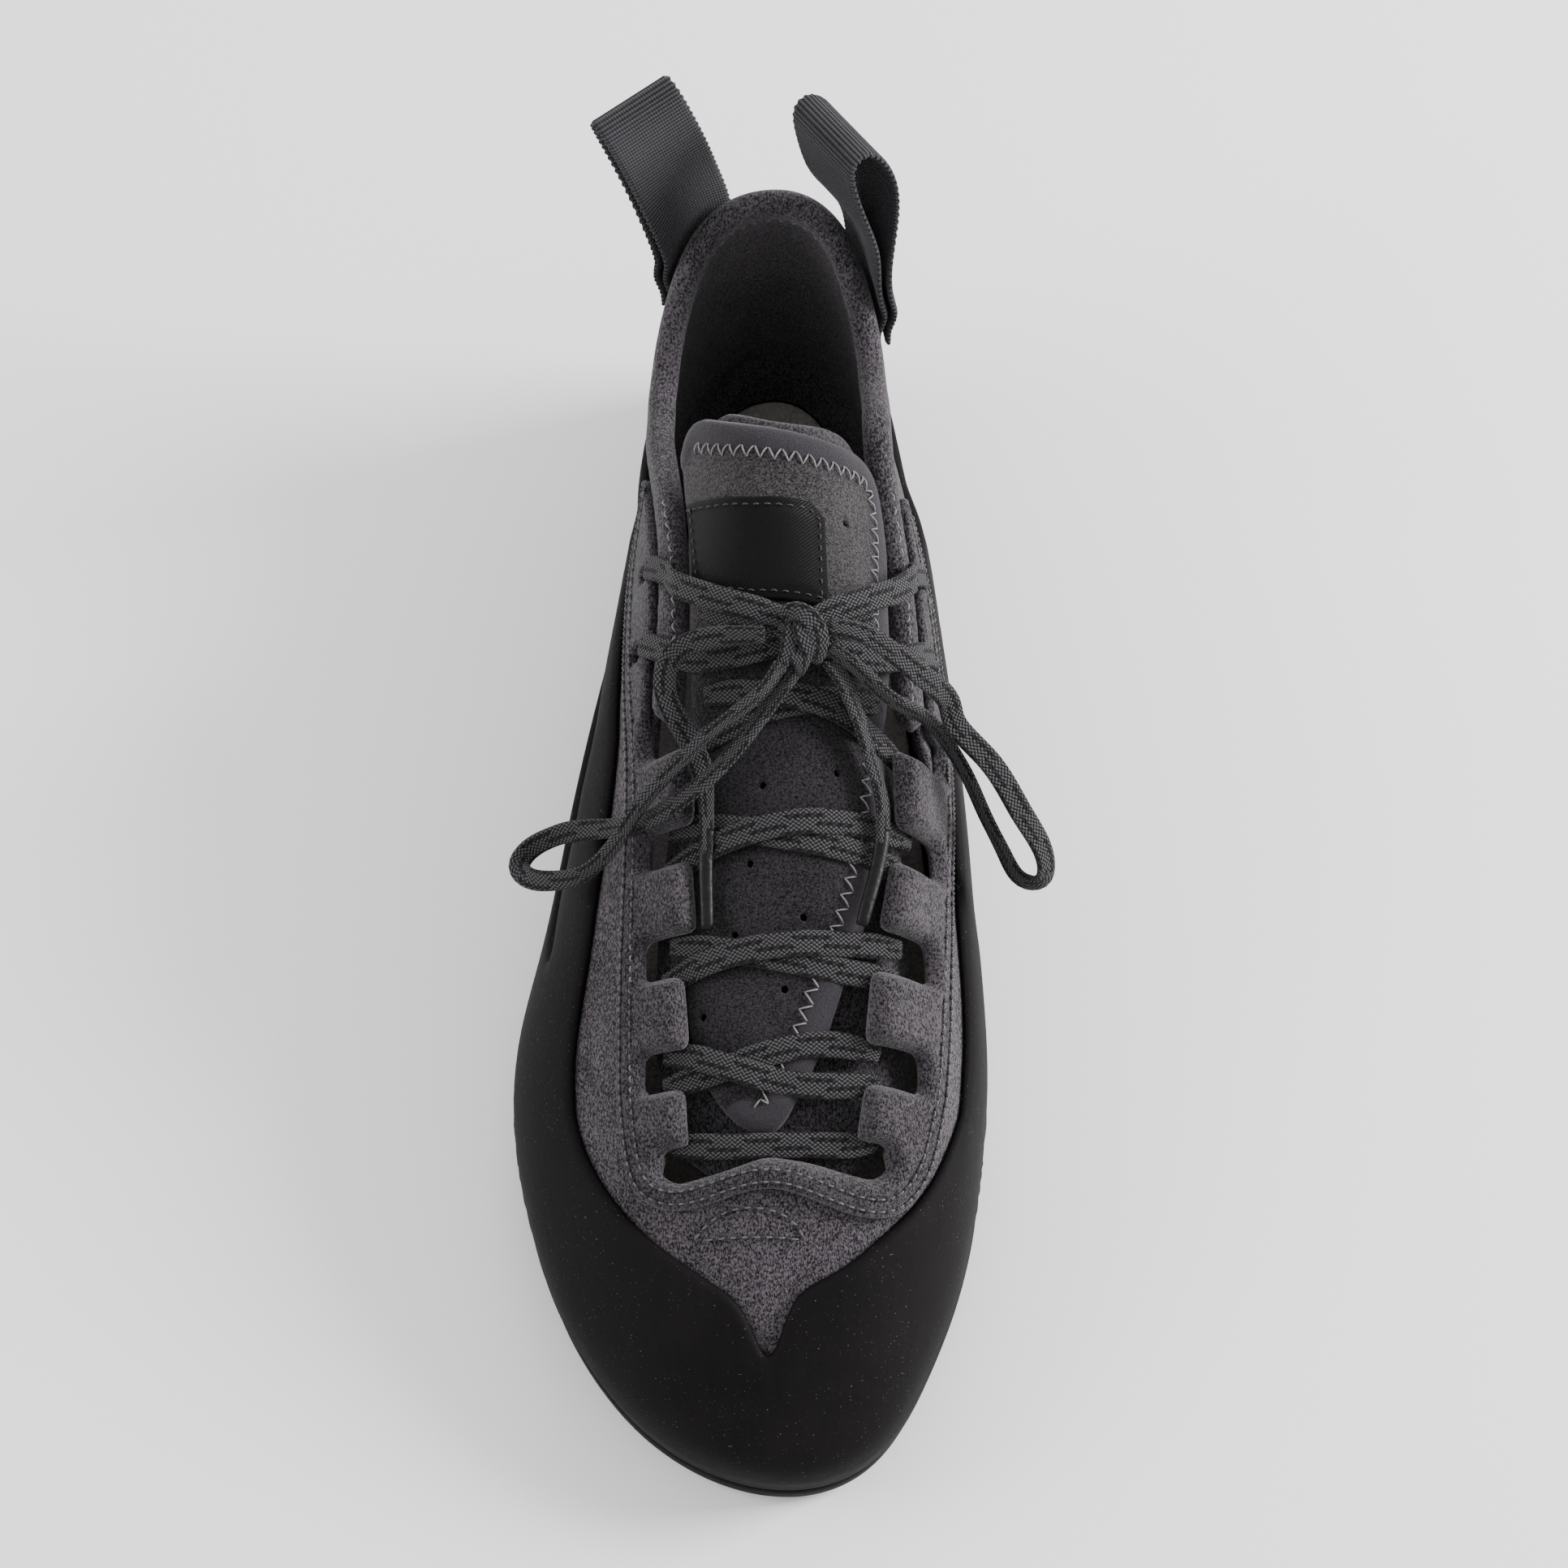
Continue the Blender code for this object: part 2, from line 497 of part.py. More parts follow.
def slab(name, rings, holes, under, over, step, creases=()):
    """A closed solid over a flat domain: rings are joined, holes are cut out, and under and
    over carry the domain's places to the two faces. Facets follow the creases, and neighbours
    with the same step and creases get the same facets."""
    lines = [np.asarray(r, float) for r in list(rings) + list(holes) + list(creases)]
    every = np.vstack(lines)
    row_step = step * 0.866
    low, high = np.floor(every.min(0) / (step, row_step)), np.ceil(every.max(0) / (step, row_step))
    grid = np.array([((i + j % 2 / 2) * step, j * row_step) for j in range(int(low[1]), int(high[1]) + 1)
                     for i in range(int(low[0]), int(high[0]) + 1)])
    if len(grid):
        near = np.ones(len(grid), bool)
        for line in lines:
            dense = divided(line, step / 2)
            gap = np.min(np.linalg.norm(grid[:, None] - dense[None], axis=2), axis=1)
            near &= gap > step * 0.45
        grid = grid[near]
    places, edges = [Vector(p) for p in every], []
    start = 0
    for line in lines:
        n = len(line)
        edges += [(start + i, start + (i + 1) % n) for i in range(n)]
        start += n
    places += [Vector(p) for p in grid]
    verts, _, faces, _, _, _ = delaunay_2d_cdt(places, edges, [], 0, 1e-7)
    verts, faces = np.array([tuple(v) for v in verts]), np.array([f for f in faces if len(f) == 3])
    middle = verts[faces].mean(axis=1)
    keep = np.zeros(len(faces), bool)
    for ring in lines[: len(rings)]:
        keep |= inside(middle, ring)
    for ring in lines[len(rings):len(rings) + len(holes)]:
        keep &= ~inside(middle, ring)
    faces = faces[keep]
    used = np.unique(faces)
    number = np.full(len(verts), -1)
    number[used] = np.arange(len(used))
    faces, verts = number[faces], verts[used]
    p = verts[faces]
    spin = np.cross(p[:, 1] - p[:, 0], p[:, 2] - p[:, 0])
    faces[spin < 0] = faces[spin < 0][:, ::-1]
    directed = {}
    for f in faces:
        for i in range(3):
            directed[(f[i], f[(i + 1) % 3])] = True
    rim = [e for e in directed if (e[1], e[0]) not in directed]
    top, bottom, n = over(verts), under(verts), len(verts)
    probe = top[faces[0]]
    upward = np.cross(probe[1] - probe[0], probe[2] - probe[0]) @ (top[faces[0]] - bottom[faces[0]]).mean(0) > 0
    shell = []
    for i, j, k in faces:
        shell.append((i, j, k) if upward else (i, k, j))
        shell.append((i + n, k + n, j + n) if upward else (i + n, j + n, k + n))
    for i, j in rim:
        shell.append((i, i + n, j + n, j) if upward else (i, j, j + n, i + n))
    return solid(name, np.vstack([top, bottom]), shell)


def on_last(lift):
    return lambda places: LAST.lifted(places, lift)


def sweep(name, centres, out, across, profiles):
    """A closed solid along a line. Each point of its profiles is (along out, along across)."""
    n, rows = len(profiles[0]), []
    for c, o, w, profile in zip(centres, out, across, profiles):
        rows += [c + o * u + w * v for u, v in profile]
    faces = []
    for i in range(len(centres) - 1):
        for j in range(n):
            k = (j + 1) % n
            faces.append((i * n + j, i * n + k, (i + 1) * n + k, (i + 1) * n + j))
    faces += [tuple(range(n))[::-1], tuple(range((len(centres) - 1) * n, len(centres) * n))]
    return closed_solid(name, rows, faces)


def closed_solid(name, rows, faces):
    """A solid whose faces are turned outward if they all point inward."""
    item = solid(name, rows, faces)
    p = np.array(rows)
    volume = sum(np.dot(p[f[0]], np.cross(p[f[i]], p[f[i + 1]])) for f in faces for i in range(1, len(f) - 1))
    if volume < 0:
        item.data.flip_normals()
    return item


def oval(wide, thick, power, count):
    """A rounded section, as (out, across) points."""
    t = np.linspace(0, 2 * np.pi, count, endpoint=False)
    c, s = np.cos(t), np.sin(t)
    return [(thick / 2 * np.sign(b) * abs(b) ** (2 / power), wide / 2 * np.sign(a) * abs(a) ** (2 / power))
            for a, b in zip(c, s)]


# Outsole: one smooth sheet of rubber under the whole foot, flat under heel and forefoot.
def plan_ring(grow, step):
    """Plan outline at the sole's top, larger by grow than the upper's foot."""
    share = (1 - np.cos(np.linspace(0, np.pi, 200))) / 2
    points = []
    for side, run in ((1, share), (-1, share[-2:0:-1])):
        foot = np.stack([edge(run, side), along(run)], -1)
        pivot = np.clip(run, HEEL_PIVOT, TOE_PIVOT)
        top = np.stack([BALL_WIDTH * section(pivot, 1), along(pivot)], -1)
        out = (foot - top) / np.linalg.norm(foot - top, axis=1)[:, None]
        points.append(foot + out * (grow - BALL_WIDTH * section(run, 4))[:, None])
    ring = np.vstack(points)
    return walk_line(np.vstack([ring, ring[:1]]), step, True)


def at_sole(height):
    return lambda places: np.column_stack([places, sole_line((HEEL_BACK - places[:, 1]) / LENGTH) + height])


RAND_LIFT = CLEARANCE + FACET_ALLOWANCE
RAND_OUTSIDE = RAND_LIFT + RAND_THICKNESS
slab("outsole", [plan_ring(RAND_OUTSIDE + 0.0006, 0.006)], [], at_sole(0), at_sole(SOLE_THICKNESS), 0.011)

insole_base = SOLE_THICKNESS + CLEARANCE
slab("insole", [plan_ring(-UPPER_WALL - 3 * CLEARANCE, 0.007)], [],
     at_sole(insole_base), at_sole(insole_base + INSOLE_THICKNESS), 0.012)


# Collar roll: a padded suede tube that stands on the upper's top edge, from the top of the
# facing's tabs on one side, round the heel, to the other side.
collar = [LAST.place(s, -1, INSTEP_HEIGHT * h) for s, h in COLLAR_LATERAL[:0:-1]]
heel_top = LAST.place(0.0, 1, INSTEP_HEIGHT * COLLAR_MEDIAL[0][1])
collar += [heel_top] + [LAST.place(s, 1, INSTEP_HEIGHT * h) for s, h in COLLAR_MEDIAL[1:]]
collar_line = smooth(collar, 0.0062, closed=False)
ROLL_SINK = 0.0008
seat = ROLL_WIDTH / 2 + CLEARANCE


def cross_frames(line, lift):
    """Points, outward directions and side directions along a pattern line."""
    centres = LAST.lifted(line, lift)
    out = LAST.normal(line[:, 0], line[:, 1])
    run = np.gradient(centres, axis=0)
    side = np.cross(run, out)
    side /= np.linalg.norm(side, axis=1)[:, None]
    return centres, np.cross(side, run) / np.linalg.norm(run, axis=1)[:, None], side


sweep("collar_roll", *cross_frames(collar_line, -ROLL_SINK),
      [oval(ROLL_WIDTH, ROLL_THICKNESS, 2.5, 10)] * len(collar_line))

# Upper: one hollow suede wall, open at the collar and the throat and underneath.
def eyelet_rings(size):
    turn = np.linspace(0, 2 * np.pi, 8, endpoint=False)
    return [shares([e])[0] + size / 2 * np.stack([np.cos(turn), np.sin(turn)], -1) for e in EYELETS]


roll_seat = LAST.aside(collar_line, -seat)
SLOT_LEDGE = 0.008
opening = np.vstack([
    roll_seat,
    shares([(t[7] + SLOT_LEDGE, b) for t in TABS for b in t[:2]]),
    shares([(a, b + SLOT_LEDGE / 2) for a, b in THROAT_FOOT[::-1]]),
    shares([(t[4] - SLOT_LEDGE, b) for t in TABS[::-1] for b in t[1::-1]]),
])
SKIN_STEP = 0.0108
low_edge, low_crease = LAST.foot_line(CLEARANCE)[::2], LAST.foot_line(0.0065)[::2]
slab("upper", [low_edge], [divided(opening, 0.0065)] + eyelet_rings(EYELET_HOLE),
     on_last(-UPPER_WALL), on_last(0.0), SKIN_STEP, [low_crease])

# Rand: the rubber band round the foot, with the toe patch and its notch, strips along both
# sides and the heel cup. Windows show the suede between the strips and the sole.
heel_cup = [LAST.place(s, -1, INSTEP_HEIGHT * h) for s, h in HEEL_CUP]
heel_cup += [LAST.place(s, 1, INSTEP_HEIGHT * h) for s, h in HEEL_CUP[-2::-1]]
rand_top = smooth(np.vstack([shares(RAND_TOP), heel_cup]), 0.0055)
windows = [smooth(shares(w), 0.006) for w in (RAND_WINDOW_LATERAL, RAND_WINDOW_MEDIAL)]
slab("rand", [low_edge], [rand_top] + windows,
     on_last(RAND_LIFT), on_last(RAND_OUTSIDE), SKIN_STEP, [low_crease])


# Lace facing: the stitched-on suede around the throat, with slots between the lace tabs.
def tab_edge(rows, inner, slot):
    """The throat edge of one side from the ankle down, as shares."""
    line, above = [], rows[0][0] - 0.026
    for row in rows:
        line += [(row[slot], above), (row[slot], row[0]), (row[inner[0]], row[0]), (row[inner[1]], row[1])]
        above = row[1]
    return line


facing_outer = smooth(shares(FACING_OUTER), 0.007, closed=False)
lateral_seat = roll_seat[roll_seat[:, 0] < 0]
lateral_seat = lateral_seat[lateral_seat[:, 1] > FACING_OUTER[0][1] * LENGTH]
medial_seat = roll_seat[roll_seat[:, 0] > 0]
medial_seat = medial_seat[medial_seat[:, 1] > FACING_OUTER[-1][1] * LENGTH]
medial_edge = shares(tab_edge(TABS, (5, 6), 7))
lateral_edge = shares(tab_edge(TABS, (2, 3), 4))
tab_shoulder = ((TABS[-1][3], THROAT_FOOT[0][1] - 0.002), (TABS[-1][6], THROAT_FOOT[-1][1] - 0.002))
inner_edge = np.vstack([
    medial_edge, shares([tab_shoulder[1]]), shares(THROAT_FOOT[::-1]), shares([tab_shoulder[0]]),
    lateral_edge[::-1],
])
TAB_CORNER = 0.0016
FACING_LIFT = CLEARANCE + FACET_ALLOWANCE
facing = np.vstack([facing_outer, medial_seat, soft_corners(inner_edge, TAB_CORNER, False), lateral_seat])
slab("lace_facing", [divided(facing, 0.006)], eyelet_rings(EYELET_HOLE),
     on_last(FACING_LIFT), on_last(FACING_LIFT + FACING_THICKNESS), 0.009)


# Tongue: two flaps that hang in the throat and bridge the instep's ridge.
def tongue_depth(places):
    """How far the tongue's top lies under the last's surface, before it bridges the ridge."""
    under_tabs = max(LACE_THICKNESS + 3 * CLEARANCE, UPPER_WALL + CLEARANCE)
    return -np.interp(places[:, 1] / LENGTH, (0.42, 0.48), (0, under_tabs))


def bridge(places):
    """The tongue's top: the last's surface evened out across the ridge."""
    reach = np.interp(places[:, 1] / LENGTH, *np.array(BRIDGE).T)
    steps = np.linspace(-1, 1, 11)
    spread = [places + np.stack([t * reach, 0 * reach], -1) for t in steps]
    return sum(LAST.lifted(line, tongue_depth) for line in spread) / len(steps)


def from_tongue(height):
    """Places at a height over the tongue's top."""
    def raised(places):
        e = 0.001
        by_a = bridge(places + (e, 0)) - bridge(places - (e, 0))
        by_b = bridge(places + (0, e)) - bridge(places - (0, e))
        up = np.cross(by_a, -by_b)
        return bridge(places) + up / np.linalg.norm(up, axis=1)[:, None] * height
    return raised


TONGUE_STEP = 0.0088
slab("tongue", [smooth(shares(TONGUE), 0.0065)], [],
     from_tongue(-TONGUE_THICKNESS), from_tongue(0), TONGUE_STEP)
under = -TONGUE_THICKNESS - CLEARANCE - FACET_ALLOWANCE
slab("tongue_under", [smooth(shares(UNDER_TONGUE), 0.0070)], [],
     from_tongue(under - UNDER_TONGUE_THICKNESS), from_tongue(under), TONGUE_STEP)
label_lift = CLEARANCE + FACET_ALLOWANCE
slab("tongue_label", [divided(shares(LABEL), 0.007)], [],
     from_tongue(label_lift), from_tongue(label_lift + LABEL_THICKNESS), TONGUE_STEP)


# Lace: a bar and crossings between the tabs, a crossing between the lower eyelets and a run
# from the upper eyelets to the knot.
def strip(line, step=0.006):
    """Outline of a lace's width along a pattern line."""
    line = smooth(shares(line), step, closed=False)
    half = LACE_WIDTH / 2
    return divided(np.vstack([offset_line(line, half), offset_line(line, -half)[::-1]]), step)


def lace_course(layer, height=0.0):
    """Underside of a lace, or a height over it: on the tongue inside the throat, and over the
    roll and the facing beside it."""
    fine = smooth(collar, 0.002, closed=False)
    medial = fine[fine[:, 0] > 0]
    on_roll = max(ROLL_THICKNESS / 2 - ROLL_SINK, FACING_LIFT + FACING_THICKNESS) + CLEARANCE
    on_tongue = from_tongue(CLEARANCE + layer * (LACE_THICKNESS + CLEARANCE) + height)

    def course(places):
        a, b = places.T
        gap = np.min(np.linalg.norm(places[:, None] - fine[None], axis=2), axis=1)
        beyond = np.where(a < 0, -a > 0.285 * BALL_WIDTH, a > np.interp(b, medial[:, 1], medial[:, 0]))
        t = np.clip((gap - 0.6 * ROLL_WIDTH) / (0.9 * ROLL_WIDTH), 0, 1)
        t = np.where(beyond, 0, t * t * (3 - 2 * t))
        t = np.where(b > 0.452 * LENGTH, 1, t)[:, None]
        return LAST.lifted(places, on_roll + height) * (1 - t) + on_tongue(places) * t

    return course


def lace_solid(name, lines, layer):
    slab(name, [strip(line) for line in lines], [],
         lace_course(layer), lace_course(layer, LACE_THICKNESS), 0.008)


lace_solid("lace_bar_1", [BAR], 0)
for number, lines in enumerate(CROSSINGS, start=2):
    lace_solid(f"lace_crossing_{number}", lines, 0)
lace_solid("lace_crossing_6", EYELET_CROSSING, 1.4)
TOP_LAYER = 3.2
lace_solid("lace_top_run", [TOP_RUN], TOP_LAYER)

# Pull loops: webbing folded once and sewn outside the collar on both sides of the heel, one end
# over the other. Rows give how far down the wall a leg reaches and how far its middle lies from
# the last's surface.
LOOP_LEG = ((0.016, 0.0016), (0.011, 0.0022), (0.006, 0.0037), (0.000, 0.0038))
LOOP_LEGS_APART = LOOP_THICKNESS + 2 * CLEARANCE
# Share of the loop's rise, and the share of its gap that the band stands out from the middle.
LOOP_ARC = (
    (0.20, 0.12), (0.46, 0.40), (0.70, 0.54), (0.89, 0.48), (0.99, 0.16),
    (0.98, -0.20), (0.84, -0.44), (0.60, -0.46), (0.36, -0.28), (0.16, -0.10),
)
# Between these shares of its rise the band lets go of the wall's curve and turns flat.
LOOP_LETS_GO = (0.16, 0.60)
# A loop leans little near the collar and more towards the fold, by this power of its rise.
LOOP_LEAN_POWER = 1.4


def pull_loop(name, share, side, rise_to, gap, lean, width_way):
    """A band on the surface up each leg, and free over the fold. The fold leans by lean in x
    and y, and the band is as wide as it is along width_way."""
    height = INSTEP_HEIGHT * np.interp(share, *np.array(COLLAR_LATERAL if side < 0 else COLLAR_MEDIAL).T)
    home = np.array(LAST.place(share, side, height))
    down = home - (0, HEEL_PIVOT * LENGTH)
    down /= np.linalg.norm(down)
    ladder = home + down * np.linspace(-0.002, 0.02, 12)[:, None]
    widths = np.linspace(-0.5, 0.5, 5) * LOOP_WIDTH
    strands = []
    for v in widths:
        rail = LAST.aside(ladder, v)
        reach = np.linalg.norm(ladder - ladder[0], axis=1) - 0.002
        run, lift = np.transpose(LOOP_LEG)
        rows = np.stack([np.interp(run, reach, rail[:, c]) for c in (0, 1)], -1)
        outer = LAST.lifted(rows, lambda places: lift + LOOP_LEGS_APART)
        inner = LAST.lifted(rows, lambda places: lift)
        strands.append((outer, inner[::-1]))
    base = (strands[2][0][-1] + strands[2][1][0]) / 2
    wide = np.array(width_way, float)
    wide *= np.sign(wide @ (strands[4][0][-1] - strands[0][0][-1]))
    out = np.array((wide[1], -wide[0], 0))
    out *= np.sign(out @ (strands[2][0][-1] - strands[2][1][0])) / np.linalg.norm(out)
    lines = []
    for v, (outer, inner) in zip(widths, strands):
        arc = []
        for i, (rise, stand) in enumerate(LOOP_ARC):
            leant = np.array((*lean, 0)) * rise ** LOOP_LEAN_POWER + (0, 0, rise_to * rise)
            free = base + leant + out * gap * stand + wide * v
            sewn = (outer[-1] if i < len(LOOP_ARC) / 2 else inner[0]) + leant
            hold = np.interp(rise, LOOP_LETS_GO, (1, 0))
            arc.append(free + (sewn - free) * hold)
        lines.append(smooth(np.vstack([outer, arc, inner]), 0.0060, closed=False, count=22))
    grid = np.array(lines)
    normal = np.cross(np.gradient(grid, axis=1), np.gradient(grid, axis=0))
    normal /= np.linalg.norm(normal, axis=2)[..., None]
    half = normal * LOOP_THICKNESS / 2
    rows = np.concatenate([grid + half, (grid - half)[::-1]], 0).transpose(1, 0, 2)
    n, faces = rows.shape[1], []
    for i in range(len(rows) - 1):
        for j in range(n):
            k = (j + 1) % n
            faces.append((i * n + j, i * n + k, (i + 1) * n + k, (i + 1) * n + j))
    w = n // 2
    for i in (0, len(rows) - 1):
        for j in range(w - 1):
            face = (i * n + j, i * n + j + 1, i * n + n - 2 - j, i * n + n - 1 - j)
            faces.append(face[::-1] if i == 0 else face)
    closed_solid(name, rows.reshape(-1, 3), faces)


pull_loop("pull_loop_lateral", 0.028, -1, 0.037, 0.0055, (-0.0105, 0.0045), (0.80, 0.60, 0.03))
pull_loop("pull_loop_medial", 0.055, 1, 0.041, 0.0090, (-0.0095, 0.0055), (0.63, -0.78, 0.0))


# Free lace: knot, bow and ends, as rows of girth place and length place in millimetres and
# height over the last, or as x, y, z where they leave the shoe.
def over_last(rows):
    rows = np.array(rows, float) / 1000
    return LAST.point(rows[:, 0], rows[:, 1]) + LAST.normal(rows[:, 0], rows[:, 1]) * rows[:, 2:]


def cord(name, rows):
    line = smooth(rows, 4 * CORD_RADIUS, closed=False)
    curve = bpy.data.curves.new(name, "CURVE")
    curve.dimensions = "3D"
    curve.bevel_depth = CORD_RADIUS
    curve.bevel_resolution = 2
    curve.use_fill_caps = True
    curve.materials.append(finish_of(name))
    run = curve.splines.new("POLY")
    run.points.add(len(line) - 1)
    for point, at in zip(run.points, line):
        point.co = (*at, 1.0)
    bpy.context.scene.collection.objects.link(bpy.data.objects.new(name, curve))
    return line


turn = np.linspace(0, 2 * np.pi, 12, endpoint=False)
KNOT = np.array((0.0012, 0.1090))
knot_ring = KNOT + np.stack([0.0036 * np.cos(turn), 0.0048 * np.sin(turn)], -1)
KNOT_RISE, KNOT_DOME = 0.0048, 90
slab("lace_knot", [knot_ring], [], lace_course(TOP_LAYER, LACE_THICKNESS + CLEARANCE),
     lambda places: lace_course(TOP_LAYER, LACE_THICKNESS + KNOT_RISE)(places)
     - np.array((0, 0, KNOT_DOME)) * np.sum((places - KNOT) ** 2, axis=1)[:, None], 0.0025)

cord("lace_end_lateral", over_last((
    (-4.2, 109.4, 7.6), (-9, 109.0, 8.2), (-15, 109.0, 9.0), (-20, 111, 9.4), (-22.5, 116, 8.4),
    (-22, 122, 5.6), (-19.5, 130, 2.4), (-19, 137, 1.2), (-19, 143, 1.0), (-19.5, 150, 0.8),
    (-19.5, 156, 0.8), (-19.5, 162, 0.8))))
cord("lace_end_medial", over_last((
    (5.4, 113.5, 5.6), (8, 117, 4.2), (10.5, 121, 2.8), (13, 126, 1.6), (15, 132, 1.4), (16.5, 137, 1.4),
    (16.5, 143, 1.2), (15, 150, 1.0), (13, 156, 1.0), (11, 162, 0.9))))
cord("lace_loop_lateral", np.vstack([
    over_last(((-2.2, 114.6, 6.6), (-5, 119, 6.6), (-10, 123, 6.6), (-16, 127, 7.0), (-20, 130, 7.2),
               (-24, 133, 7.8), (-29, 137, 8.2), (-36, 143, 7.8))),
    np.array(((-40.6, -119.4, 54.8), (-46.5, -119.0, 51.0), (-51.5, -117.0, 48.0), (-53.6, -113.6, 46.5),
              (-51.8, -110.2, 46.6), (-47.5, -108.6, 49.0), (-42.8, -108.6, 52.2))) / 1000,
    over_last(((-40, 138, 5.0), (-30, 139, 4.6), (-23, 137.5, 5.2), (-15, 133, 4.6), (-9, 127, 3.6),
               (-4, 121, 3.8), (0.5, 115.5, 5.2))),
]))
cord("lace_loop_medial", np.vstack([
    over_last(((5.2, 108.0, 8.4), (9, 109, 10.6), (14, 112, 11.4), (21, 115, 11.4), (28, 117, 10.6))),
    np.array(((34.0, -92.0, 69.0), (41.0, -99.0, 65.0), (47.8, -107.4, 58.0), (52.6, -113.4, 50.5),
              (52.0, -116.4, 45.5), (48.4, -115.6, 44.0), (44.6, -111.6, 48.0), (40.4, -105.8, 54.6),
              (36.6, -99.6, 60.4))) / 1000,
    over_last(((29, 120.5, 6.4), (22, 120, 7.0), (15, 119, 7.2), (9.5, 115, 7.6), (5.4, 111.8, 7.8))),
]))
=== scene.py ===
"""A right climbing shoe, dressed: napped suede, sheet rubber, ribbed webbing and a tied flat lace.

Metres, +Z up, toe towards -Y, the big toe's side at +X. Places on the shoe are written on the flat
pattern of its last: a is the girth distance from the ridge line and b the distance from the heel,
given as shares of the ball width and of the foot's length."""

